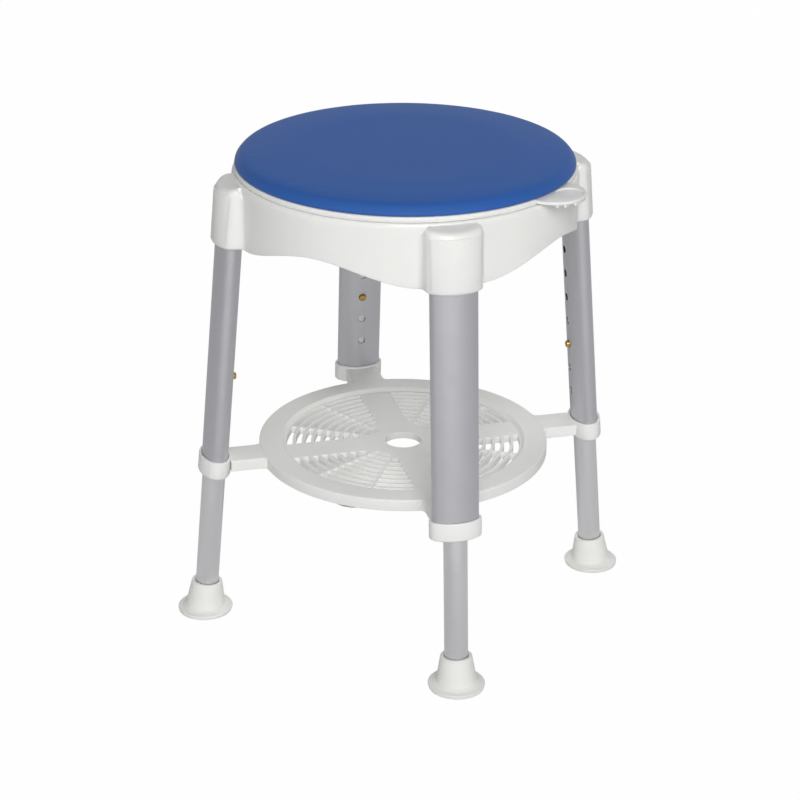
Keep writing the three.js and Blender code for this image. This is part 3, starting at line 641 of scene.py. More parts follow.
class Finish(Enum):
    """The finishes of the stool."""

    # ABS, moulded: even satin white, a little warm.
    WHITE_ABS = MouldedPlastic("white_abs", "F3F3F1", "EFEFEC", 0.34, 0.9, 0.03, 0.3)
    # Acetal, moulded: denser and smoother than ABS.
    ACETAL = MouldedPlastic("ivory_acetal", "E9E8E2", "E2E1DA", 0.28, 0.9, 0.02)
    # Nylon, moulded: greyer, with a dull skin.
    NYLON = MouldedPlastic("grey_nylon", "DADAD5", "D0D0CA", 0.5, 1.2, 0.05)
    # Thermoplastic rubber, moulded: soft, nearly matte, off-white.
    FOOT_RUBBER = MouldedPlastic("white_foot_rubber", "F4F4F1", "EDEDE8", 0.5, 1.4, 0.06, 0.2, 1.5)
    # Foam pad with a pressed weave.
    PAD = PadFoam()
    # Anodised aluminium, satin, extruded: soft grey with lines along the tube.
    OUTER_TUBE = DrawnMetal("satin_anodised_aluminium", "D3D3D8", 0.46, 0.5)
    # Aluminium, drawn and lightly polished: paler than the outer tube it slides in.
    INNER_TUBE = DrawnMetal("drawn_polished_aluminium", "EAEAEC", 0.42, 0.5)
    # Turned brass: warm and bright.
    BRASS = DrawnMetal("turned_brass", "C8A45A", 0.28, 0.4)
    # Zinc-plated steel: bluish grey.
    STEEL = DrawnMetal("zinc_plated_steel", "A8ABB0", 0.35, 0.4)
    # Spring steel: darker, oiled.
    SPRING_STEEL = DrawnMetal("spring_steel", "7C7F85", 0.3, 0.3)


class Paintbox:
    """Builds each finish once and puts it on pieces."""

    def __init__(self) -> None:
        """Starts with no material built."""
        self.built: dict[Finish, Material] = {}

    def coat(self, piece: Object, finish: Finish) -> Object:
        """Gives a piece one finish all over.

        Args:
            piece: the piece.
            finish: its finish.

        Returns:
            The piece.
        """
        if finish not in self.built:
            self.built[finish] = finish.value.material()
        if piece.data.materials:
            for i in range(len(piece.data.materials)):
                piece.data.materials[i] = self.built[finish]
        else:
            piece.data.materials.append(self.built[finish])
        return piece


# ------------------------------------------------------------------------------------------ the frame
@dataclass(frozen=True)
class Leg:
    """Where one leg stands."""

    side: str
    azimuth: float
    floor_radius: float
    tilt: float

    @property
    def place(self) -> Matrix:
        """Turns the leg's own frame (X outwards, Y along the rim, Z up the leg) to the stool's, in metres."""
        out = Matrix.Translation((self.floor_radius * MM, 0.0, 0.0))
        return Matrix.Rotation(self.azimuth, 4, "Z") @ out @ Matrix.Rotation(-self.tilt, 4, "Y")

    @property
    def upright(self) -> Matrix:
        """Turns a frame that stands upright under the leg, with X outwards, to the stool's."""
        return Matrix.Rotation(self.azimuth, 4, "Z")

    def radius_at(self, height: float) -> float:
        """Distance of the leg's axis from the swivel axis at a height, in millimetres."""
        return self.floor_radius - math.tan(self.tilt) * height


@dataclass(frozen=True)
class Plan:
    """Heights and places that the CAD frame gives, in millimetres."""

    legs: tuple[Leg, ...]
    seam: float
    deck: float
    plate_bottom: float
    plate_top: float
    pad_bottom: float
    pad_top: float
    skirt_bottom: float
    shelf_top: float
    collar_bottom: float
    button: float

    @staticmethod
    def read(frame: dict) -> "Plan":
        """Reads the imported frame.


        Returns:
            The plan of the stool.
        """
        foot = next(m for m in frame["record"]["mounts"] if m["name"] == "foot_base_front_right")
        floor_radius = math.hypot(foot["pos_m"][0], foot["pos_m"][1]) / MM
        legs = []
        for joint in frame["joints"]:
            if not joint["name"].startswith("leg_slide_"):
                continue
            x, y, z = joint["axis"]
            tilt = math.atan2(math.hypot(x, y), -z)
            legs.append(Leg(joint["name"].removeprefix("leg_slide_"), math.atan2(y, x), floor_radius, tilt))
        lean = legs[0].tilt
        button_low, button_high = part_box("snap_button_front_right")
        base_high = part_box("seat_base")[1]
        plate_low = base_high.z / MM + 0.4
        plate_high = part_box("swivel_plate")[1].z / MM
        pad_low, pad_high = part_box("seat_pad")
        LOG.info("legs lean %.2f degrees", math.degrees(lean))
        return Plan(
            legs=tuple(legs),
            seam=base_high.z / MM,
            deck=base_high.z / MM - 9.2,
            plate_bottom=plate_low,
            plate_top=plate_high,
            pad_bottom=pad_low.z / MM,
            pad_top=pad_high.z / MM,
            skirt_bottom=388.5,
            shelf_top=167.8,
            collar_bottom=153.12,
            button=(button_low.z + button_high.z) / 2 / MM / math.cos(lean),
        )


@dataclass(frozen=True)
class OvalTube:
    """The four-arc oval of the outer leg tubes."""

    width: float = 44.4
    depth: float = 25.4
    end_radius: float = 8.0

    def point(self, angle: float, grow: float) -> Vector:
        """Point of the oval whose normal points along an angle.

        Args:
            angle: direction of the normal in radians; 0 points away from the stool's middle.
            grow: how far the oval is offset outwards.

        Returns:
            The point in the leg's XY plane.
        """
        end_centre = self.width / 2 - self.end_radius
        span = end_centre**2 + (self.depth / 2) ** 2 - self.end_radius**2
        broad = span / (self.depth - 2 * self.end_radius)
        broad_centre = broad - self.depth / 2
        bend = math.atan2(end_centre, broad_centre)
        fold = abs(math.remainder(angle, math.tau))
        side = 1.0 if fold <= math.pi / 2 else -1.0
        fold = fold if side > 0 else math.pi - fold
        if fold <= bend:
            x, y = (broad + grow) * math.cos(fold) - broad_centre, (broad + grow) * math.sin(fold)
        else:
            radius = self.end_radius + grow
            x, y = radius * math.cos(fold), end_centre + radius * math.sin(fold)
        sign = 1.0 if math.remainder(angle, math.tau) >= 0 else -1.0
        return Vector((side * x, sign * y, 0.0))

    def ring(self, grow: float, height: float, count: int = 80) -> Ring:
        """Closed ring of the offset oval at a height along the leg.

        Args:
            grow: how far the oval is offset outwards.
            height: where along the leg.
            count: points of the ring.

        Returns:
            The ring.
        """
        lift = Vector((0.0, 0.0, height))
        return [self.point(math.tau * (i + 0.5) / count, grow) + lift for i in range(count)]


OVAL = OvalTube()
TUBE = OvalTube(44.9, 24.9)


def round_like(ring: Ring, radius: float, height: float) -> Ring:
    """A circle whose points lie in the same directions as those of another ring.

    Args:
        ring: the other ring.
        radius: radius of the circle.
        height: its height.

    Returns:
        The circle.
    """
    circle = []
    for spot in ring:
        angle = math.atan2(spot.y, spot.x)
        circle.append(Vector((radius * math.cos(angle), radius * math.sin(angle), height)))
    return circle


# ------------------------------------------------------------------------------------------ sub-assemblies
@dataclass
class Seat:
    """The padded seat that swivels: pad, plate and lock tab."""

    plan: Plan
    paint: Paintbox
    rim_radius: float = 161.8
    pad_field: float = 118.0
    pad_crown: float = 0.3
    pad_net: int = 56
    # How far the drawn net stands over the plain disc of the part's solid, and inside the rounded edge,
    # before it swells.
    pad_loft: float = 1.14
    pad_relief: float = 0.21
    swell_pressure: float = 0.3
    swell_frames: int = 20
    # The rounded edge of the pad: radius, and depth below its top.
    pad_edge: tuple[tuple[float, float], ...] = (
        (127.0, 0.35), (135.0, 0.45), (141.5, 0.65), (146.5, 0.95), (150.3, 1.45), (153.2, 2.2), (155.4, 3.2),
        (157.2, 4.6), (158.7, 6.2), (159.9, 7.8), (160.8, 9.0),
    )
    # The small rounding where the pad meets the plate: inset from its widest, and height.
    pad_foot: tuple[tuple[float, float], ...] = ((-0.4, 1.3), (-0.2, 0.7), (0.4, 0.2), (1.4, 0.0))
    pad_sole: float = 153.0
    tab_tip: float = 189.0
    tab_root: float = 149.0
    tab_radius: float = 31.0
    tab_offset: float = -5.0
    tab_thickness: float = 3.2
    tab_drop: float = 1.0
    tab_roll: float = 0.9
    dish_radius: float = 12.8
    dish_inset: float = 16.0
    dish_depth: float = 1.5
    grip_ribs: int = 3
    grip_pitch: float = 5.5
    grip_depth: float = 2.8
    arm_start: float = 132.5
    arm_half_width: float = 12.0

    def pad(self) -> Object:
        """Cuts the pad from an even net, so that it can swell like cloth, and rounds its edge."""
        put_tools_down()
        bpy.ops.mesh.primitive_grid_add(x_subdivisions=self.pad_net, y_subdivisions=self.pad_net, size=2.0)
        pad = bpy.context.object
        pad.name = pad.data.name = "foam_pad"
        low, high = self.plan.pad_bottom, self.plan.pad_top + self.pad_loft
        for vertex in pad.data.vertices:
            x, y = vertex.co.x, vertex.co.y
            reach, side = (x, y) if abs(x) >= abs(y) else (y, x)
            angle = math.pi / 4 * side / reach if reach else 0.0
            along, across = reach * math.cos(angle), reach * math.sin(angle)
            out = (along, across) if abs(x) >= abs(y) else (across, along)
            fall = self.pad_crown * (out[0] ** 2 + out[1] ** 2)
            vertex.co = Vector((out[0] * self.pad_field, out[1] * self.pad_field, high - fall)) * MM
        bpy.ops.object.mode_set(mode="EDIT")
        bpy.ops.mesh.select_all(action="DESELECT")
        mesh = bmesh.from_edit_mesh(pad.data)
        mesh.verts.index_update()
        for edge in mesh.edges:
            edge.select_set(edge.is_boundary)
        rim = {vertex.index: vertex.co.to_2d().normalized() for vertex in mesh.verts if vertex.is_boundary}
        order = {index: place for place, index in enumerate(rim)}
        ways = list(rim.values())
        bmesh.update_edit_mesh(pad.data)
        steps = [(radius - self.pad_relief, high - fall) for radius, fall in self.pad_edge]
        widest = self.pad_edge[-1][0]
        foot = [(widest - inset, low + lift) for inset, lift in self.pad_foot]
        for radius, height in [*steps, *foot, (self.pad_sole, low)]:
            order = led_to(pad, order, [Vector((way.x * radius, way.y * radius, height)) for way in ways])
        bpy.ops.mesh.extrude_edges_move()
        bpy.ops.mesh.merge(type="CENTER")
        closed_up(pad)
        self.swell(pad)
        take(pad)
        finer = pad.modifiers.new("Finer", "SUBSURF")
        finer.levels = finer.render_levels = 1
        bpy.ops.object.modifier_apply(modifier=finer.name)
        for vertex in pad.data.vertices:
            vertex.co.z = max(vertex.co.z, low * MM)
        self.paint.coat(smoothed(pad, 50), Finish.PAD)
        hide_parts("seat_pad")
        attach(pad, "seat")
        return pad

    def swell(self, pad: Object) -> None:
        """Lets the pad swell as cloth under a little pressure and holds its sole down.

        Args:
            pad: the closed net of the pad.
        """
        start = [vertex.co.copy() for vertex in pad.data.vertices]
        sole = pad.vertex_groups.new(name="sole")
        level = (self.plan.pad_bottom + 0.1) * MM
        sole.add([vertex.index for vertex in pad.data.vertices if vertex.co.z < level], 1.0, "REPLACE")
        take(pad)
        swelling = pad.modifiers.new("Swelling", "CLOTH")
        swelling.settings.use_pressure = True
        swelling.settings.uniform_pressure_force = self.swell_pressure
        swelling.settings.effector_weights.gravity = 0.0
        swelling.settings.vertex_group_mass = "sole"
        scene = bpy.context.scene
        for frame in range(1, self.swell_frames + 1):
            scene.frame_set(frame)
        bpy.ops.object.modifier_apply(modifier=swelling.name)
        scene.frame_set(1)
        farthest = max((vertex.co - before).length for vertex, before in zip(pad.data.vertices, start))
        LOG.info("the pad swelled by up to %.1f mm", farthest / MM)

    def plate(self) -> Object:
        """Turns the plate under the pad and cuts the bay for the lock tab."""
        rim, low, high = self.rim_radius, self.plan.plate_bottom, self.plan.plate_top
        panel = high - 3.2
        inside = rim - 6.6
        plate = turned(
            "swivel_disc",
            [
                (5.4, low - 4.1, 0.3), (18.0, low - 4.1, 0.6), (18.0, panel, 0.8), (115.0, panel, 0.5),
                (115.0, low - 3.0, 0.4), (124.0, low - 3.0, 0.4), (124.0, panel, 0.5), (inside, panel, 0.6),
                (inside, low, 0.4), (rim - 0.4, low, 1.0), (rim, low + 2.2, 1.6), (rim - 0.2, high, 2.0),
                (9.4, high, 0.3), (9.4, high - 3.8, 0.3), (5.4, high - 3.8, 0.2),
            ],
            224, 4,
        )
        half = self.tab_radius + 0.4
        root = self.tab_root - 6.4
        bay = block(
            "tab_bay", Vector((root, self.tab_offset - half, low - 8)),
            Vector((rim + 20, self.tab_offset + half, high + 8)),
        )
        cut_away(plate, [bay])
        inner, outer = self.arm_half_width + 0.4, self.arm_half_width + 3.4
        rails = []
        for side in (-1, 1):
            levels = ((inner, panel - 4.9, panel + 0.5), (inner - 2.0, panel - 5.5, panel - 4.2))
            for near, low_z, high_z in levels:
                span = sorted((side * near, side * outer))
                start, end = Vector((self.arm_start, span[0], low_z)), Vector((root, span[1], high_z))
                rails.append(block("tab_rail", start, end, 0.3))
        plate = joined("swivel_disc", [plate, *rails])
        self.paint.coat(smoothed(plate, 32), Finish.WHITE_ABS)
        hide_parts("swivel_plate")
        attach(plate, "seat")
        return plate

    def tab_outline(self, inset: float, height: float) -> Ring:
        """Plan of the lock tab: two straight sides and a round end.

        Args:
            inset: how far it is drawn inwards.
            height: the height of the ring.

        Returns:
            The closed ring.
        """
        radius, centre = self.tab_radius - inset, self.tab_tip - self.tab_radius
        ring = [Vector((self.tab_root + inset, self.tab_offset - radius, height))]
        for i in range(49):
            angle = math.pi * (i / 48 - 0.5)
            spot = (centre + radius * math.cos(angle), self.tab_offset + radius * math.sin(angle))
            ring.append(Vector((spot[0], spot[1], height)))
        ring.append(Vector((self.tab_root + inset, self.tab_offset + radius, height)))
        return ring

    def half_chord(self, x: float) -> float:
        """Half of the tab's width at a distance from the swivel axis."""
        beyond = max(0.0, x - (self.tab_tip - self.tab_radius))
        return math.sqrt(max(0.0, self.tab_radius**2 - beyond**2))

    def tab(self) -> Object:
        """Moulds the lock tab: plate with a rolled edge, thumb dish, grip ribs below, arm and tooth."""
        top = self.plan.plate_top - self.tab_drop
        low = top - self.tab_thickness
        roll = self.tab_roll
        rings = []
        for i in range(0, 4):
            turn = math.radians(30 * i)
            rings.append(self.tab_outline(roll * (1 - math.sin(turn)), low + roll * (1 - math.cos(turn))))
        for i in range(0, 4):
            turn = math.radians(30 * i)
            rings.append(self.tab_outline(roll * (1 - math.cos(turn)), top - roll * (1 - math.sin(turn))))
        body = wound("lock_tab_body", rings)
        dish = turned(
            "dish_cutter",
            [
                (0.0, top - self.dish_depth, 0.0), (self.dish_radius - 0.6, top - self.dish_depth, 1.2),
                (self.dish_radius + 0.5, top + 0.01, 0.3), (self.dish_radius + 0.6, top + 2, 0.0),
                (0.0, top + 2, 0.0),
            ],
            72, 5,
        )
        set_in_place(dish, Matrix.Translation(((self.tab_tip - self.dish_inset) * MM, 0, 0)))
        cut_away(body, [dish])
        parts = [body]
        for i in range(self.grip_ribs):
            x = self.tab_tip - 3.0 - i * self.grip_pitch
            reach = self.half_chord(x + 1.0) - 0.3
            parts.append(
                block(
                    "grip_rib", Vector((x - 1.0, self.tab_offset - reach, low - self.grip_depth)),
                    Vector((x + 1.0, self.tab_offset + reach, low + 1.0)), 0.6,
                )
            )
        arm_top = self.plan.plate_top - 3.6
        half, start = self.arm_half_width, self.arm_start
        parts.append(
            block(
                "tab_arm",
                Vector((start, -half, arm_top - 3.4)), Vector((self.tab_root + 2, half, arm_top)), 0.4,
            )
        )
        parts.append(
            block(
                "tab_tooth",
                Vector((start, -3.6, self.plan.deck + 2.1)), Vector((start + 5, 3.6, arm_top - 1)), 0.4,
            )
        )
        tab = joined("lock_lever", parts)
        self.paint.coat(smoothed(tab, 32), Finish.WHITE_ABS)
        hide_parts("lock_tab")
        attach(tab, "seat_lock")
        return tab

    def build(self) -> list[Object]:
        """Builds the pad, the plate and the tab."""
        return [self.plate(), self.tab(), self.pad()]


@dataclass
class SeatBase:
    """The moulding that carries the seat: skirt with arches, four posts, deck, boss and ribs."""

    plan: Plan
    paint: Paintbox
    skirt: float = 164.2
    rim_edge: float = 6.0
    rim_draw: float = 2.3
    post_wall: float = 4.4
    post_nose: float = 1.3
    post_drop: float = 1.8
    post_slope: float = 0.2
    post_edge: float = 5.0
    foot_edge: float = 2.5
    fillet: float = 5.0
    arch_half: float = 95.0
    arch_rise: float = 19.4
    arch_foot: float = 25.0
    arch_crown: float = 35.0
    arc_points: int = 26
    fillet_points: int = 8
    post_points: int = 16

    def arch(self, across: float) -> float:
        """Height of the skirt's lower edge.

        Args:
            across: distance from the middle of a side.

        Returns:
            How far the edge rises above the skirt's lowest level.
        """
        if abs(across) >= self.arch_half:
            return 0.0
        low, high = 0.0, 1.0
        for _ in range(40):
            middle = (low + high) / 2
            if self.arch_point(middle)[0] > abs(across):
                low = middle
            else:
                high = middle
        return self.arch_point(low)[1]

    def arch_point(self, share: float) -> tuple[float, float]:
        """Point of one half of the arch, from its foot (0) to its crown (1)."""
        t, s = share, 1 - share
        across = s**3 * self.arch_half + 3 * s * t * t * self.arch_crown
        across += 3 * s * s * t * (self.arch_half - self.arch_foot)
        rise = 3 * s * t * t * self.arch_rise + t**3 * self.arch_rise
        return across, rise

    def half_outline(self, inset: float, height: float, leg: Leg) -> list[tuple[Vector, float]]:
        """Half of one quarter of the outline, from the middle of a side to the front of the post.

        Args:
            inset: how far the post is drawn inwards.
            height: the level.
            leg: the leg whose post this is.

        Returns:
            Points in the leg's upright frame with their share of post (0 on the skirt, 1 on the post).
        """
        axis = leg.radius_at(height)
        grow = self.post_wall - inset
        tip = OVAL.point(math.pi / 2, grow)
        wide = tip.y + self.fillet
        toe_angle = math.asin(wide / self.skirt)
        points: list[tuple[Vector, float]] = []
        for i in range(self.arc_points):
            angle = math.pi / 4 + (toe_angle - math.pi / 4) * i / self.arc_points
            points.append((Vector((self.skirt * math.cos(angle), self.skirt * math.sin(angle), 0)), 0.0))
        toe = Vector((self.skirt * math.cos(toe_angle), wide, 0))
        side = Vector((axis, tip.y, 0))
        along = Vector((math.sin(toe_angle), -math.cos(toe_angle), 0))
        reach = (toe.y - side.y) / -along.y
        bend = toe + along * reach * 0.92
        for i in range(self.fillet_points):
            t = i / self.fillet_points
            spot = toe * (1 - t) ** 2 + bend * 2 * t * (1 - t) + side * t * t
            points.append((spot, t))
        for i in range(self.post_points + 1):
            angle = math.pi / 2 * (1 - i / self.post_points)
            spot = OVAL.point(angle, grow)
            nose = self.post_nose * math.cos(angle) ** 2
            points.append((Vector((axis + spot.x - nose, spot.y, 0)), 1.0))
        return points

    def outline(self, inset: float, height: float) -> list[tuple[Vector, float]]:
        """The whole outline at a level, leg by leg.

        Args:
            inset: how far the posts are drawn inwards.
            height: the level.

        Returns:
            Points in the stool's frame, each with its share of post.
        """
        whole: list[tuple[Vector, float]] = []
        for leg in sorted(self.plan.legs, key=lambda item: item.azimuth):
            half = self.half_outline(inset, height, leg)
            right = [(Vector((p.x, -p.y, 0)), share) for p, share in half]
            quarter = right + [pair for pair in reversed(half[:-1])][:-1]
            turn = leg.upright
            whole += [(turn @ p, share) for p, share in quarter]
        return whole

    def outer_rings(self) -> list[Ring]:
        """Rings of the outside, from the underside of the wall up to the seam."""
        bottom, seam = self.plan.skirt_bottom, self.plan.seam
        edge_start = seam - self.rim_edge
        rings: list[Ring] = []
        legs = sorted(self.plan.legs, key=lambda item: item.azimuth)
        count = len(self.outline(0, bottom))
        quarter = count // 4
        owner = [legs[min(i // quarter, 3)] for i in range(count)]

        def lift(spot: Vector) -> float:
            """Rise of the arch under a point."""
            return self.arch(min(abs(spot.x), abs(spot.y)))

        def roof(spot: Vector, leg: Leg) -> float:
            """Height of the post's top over a point."""
            out = spot.x * math.cos(leg.azimuth) + spot.y * math.sin(leg.azimuth)
            return seam - self.post_drop - self.post_slope * max(0.0, out - leg.radius_at(seam))

        small = 1.0
        for i in range(5):
            turn = math.radians(22.5 * i)
            ring = []
            for (spot, share) in self.outline(self.foot_edge * (1 - math.sin(turn)), bottom):
                edge = small + (self.foot_edge - small) * share
                rise = edge * (1 - math.cos(turn)) + lift(spot)
                if share < 1.0:
                    pull = small * (1 - math.sin(turn)) * (1 - share)
                    spot = spot * ((spot.length - pull) / spot.length)
                ring.append(Vector((spot.x, spot.y, bottom + rise)))
            rings.append(ring)
        walls = 9
        start = rings[-1]
        top_outline = self.outline(0, seam - 8)
        tops = []
        for i, (spot, share) in enumerate(top_outline):
            high = roof(spot, owner[i]) - self.post_edge
            tops.append(high * share + (edge_start - 9.0) * (1 - share))
        for k in range(1, walls + 1):
            part = k / walls
            ring = []
            for i in range(count):
                z = start[i].z * (1 - part) + tops[i] * part
                ring.append(z)
            shaped = []
            for i, z in enumerate(ring):
                low = start[i]
                high = top_outline[i][0]
                drift = (z - low.z) / max(1e-6, seam - 8 - low.z)
                shaped.append(Vector((low.x + (high.x - low.x) * drift, low.y + (high.y - low.y) * drift, z)))
            rings.append(shaped)
        for k in range(1, 7):
            turn = (math.pi / 2 - math.atan(self.post_slope)) * k / 6
            inset = self.post_edge * (1 - math.cos(turn))
            ring = []
            for i, (spot, share) in enumerate(self.outline(inset, seam - 4)):
                post_z = roof(spot, owner[i]) - self.post_edge * (1 - math.sin(turn))
                wall_z = edge_start - 9.0 + 6.0 * k / 6
                ring.append(Vector((spot.x, spot.y, post_z * share + wall_z * (1 - share))))
            rings.append(ring)
        last = rings[-1]
        for k in range(1, 5):
            part = k / 4
            ring = []
            for i, spot in enumerate(last):
                share = self.outline_share[i]
                meet = self.meeting_angle * share
                radius = self.skirt - self.rim_draw * (1 - math.cos(meet))
                flat = Vector((spot.x, spot.y, 0))
                goal = flat.normalized() * radius
                where = flat * (1 - part) + goal * part
                z_end = edge_start + self.rim_edge * math.sin(meet)
                z = spot.z * (1 - part) + z_end * part
                if share >= 1.0:
                    z = min(roof(where, owner[i]), z + 10) if part < 1 else z_end
                ring.append(Vector((where.x, where.y, z)))
            rings.append(ring)
        for k in range(1, 6):
            ring = []
            for i, spot in enumerate(last):
                meet = self.meeting_angle * self.outline_share[i]
                turn = meet + (math.pi / 2 - meet) * k / 5
                radius = self.skirt - self.rim_draw * (1 - math.cos(turn))
                flat = Vector((spot.x, spot.y, 0)).normalized() * radius
                ring.append(Vector((flat.x, flat.y, edge_start + self.rim_edge * math.sin(turn))))
            rings.append(ring)
        return rings

    @property
    def outline_share(self) -> list[float]:
        """Share of post of each point of the outline."""
        return [share for _, share in self.outline(0, self.plan.seam)]

    @property
    def meeting_angle(self) -> float:
        """Where on the rounded rim the top of a post meets it."""
        return math.asin((self.rim_edge - self.post_drop) / self.rim_edge)

    def inner_rings(self, outer: Ring, underside: Ring) -> list[Ring]:
        """Rings of the inside: over the rim, the deck and the boss, and back under the deck to the skirt.

        Args:
            outer: the last ring of the outside.
            underside: the first ring of the outside.

        Returns:
            The rings.
        """
        seam, deck = self.plan.seam, self.plan.deck
        under = deck - 3.0
        section: list[Corner] = [
            (158.6, seam, 0.4), (158.3, deck, 0.8), (129.5, deck, 0.5), (129.5, deck + 6.8, 0.4),
            (126.5, deck + 6.8, 0.4), (126.5, deck, 0.5), (18.0, deck, 0.6), (18.0, deck + 4, 0.4),
            (5.3, deck + 4, 0.3), (5.3, under - 25, 0.3), (18.0, under - 25, 0.6), (18.0, under, 3.0),
            (161.2, under, 3.0),
        ]
        open_line = rounded([(161.6, seam - 0.01, 0.0), *section, (161.2, 395.0, 0.0)], 4)[1:-1]
        rings = []
        for step in open_line:
            lift = Vector((0, 0, step.z))
            rings.append([Vector((p.x, p.y, 0)).normalized() * step.x + lift for p in outer])
        for part in (0.25, 0.5, 0.75, 0.97):
            ring = []
            for p, low in zip(outer, underside):
                flat = Vector((p.x, p.y, 0)).normalized() * 161.2
                ring.append(Vector((flat.x, flat.y, (under - 3.2) * (1 - part) + (low.z + 0.6) * part)))
            rings.append(ring)
        ring = []
        for p, low in zip(outer, underside):
            flat = Vector((p.x, p.y, 0)).normalized() * 161.7
            ring.append(Vector((flat.x, flat.y, low.z)))
        rings.append(ring)
        return rings

    def shell(self) -> Object:
        """Winds the whole moulding as one closed skin."""
        outside = self.outer_rings()
        return wound("seat_base_shell", [*outside, *self.inner_rings(outside[-1], outside[0])], endless=True)

    def sockets(self) -> list[Object]:
        """The sleeves that hold the tubes, inside the skirt."""
        high = (self.plan.deck - 1.5) / math.cos(self.plan.legs[0].tilt)
        low = (self.plan.skirt_bottom + 1.0) / math.cos(self.plan.legs[0].tilt)
        rings = [
            OVAL.ring(0.35, high), OVAL.ring(4.1, high), OVAL.ring(4.1, low + 1.2), OVAL.ring(3.7, low + 0.3),
            OVAL.ring(3.0, low), OVAL.ring(0.9, low), OVAL.ring(0.35, low + 0.6),
        ]
        pattern = wound("socket", rings, endless=True)
        made = []
        for leg in self.plan.legs:
            made.append(set_in_place(copied(pattern, f"socket_{leg.side}"), leg.place))
        bpy.data.objects.remove(pattern, do_unlink=True)
        return made

    def ribs(self) -> list[Object]:
        """Webs under the deck."""
        under = self.plan.seam - 12.2
        made = []
        for i in range(8):
            rib = block("deck_web", Vector((17.0, -1.2, under - 17)), Vector((162.6, 1.2, under + 1.5)), 0.5)
            made.append(set_in_place(rib, Matrix.Rotation(math.radians(22.5 + 45 * i), 4, "Z")))
        return made

    def notches(self) -> list[Object]:
        """Cutters for the four notches in the latch wall."""
        deck = self.plan.deck
        made = []
        for i in range(4):
            cutter = block("notch", Vector((124.5, -4.0, deck + 0.05)), Vector((131.5, 4.0, deck + 9)))
            made.append(set_in_place(cutter, Matrix.Rotation(math.radians(90 * i), 4, "Z")))
        return made

    def build(self) -> list[Object]:
        """Builds the seat base."""
        shell = cut_away(self.shell(), self.notches())
        base = joined("seat_base_moulding", [shell, *self.sockets(), *self.ribs()])
        self.paint.coat(smoothed(base, 36), Finish.WHITE_ABS)
        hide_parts("seat_base")
        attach(base, "frame")
        return [base]


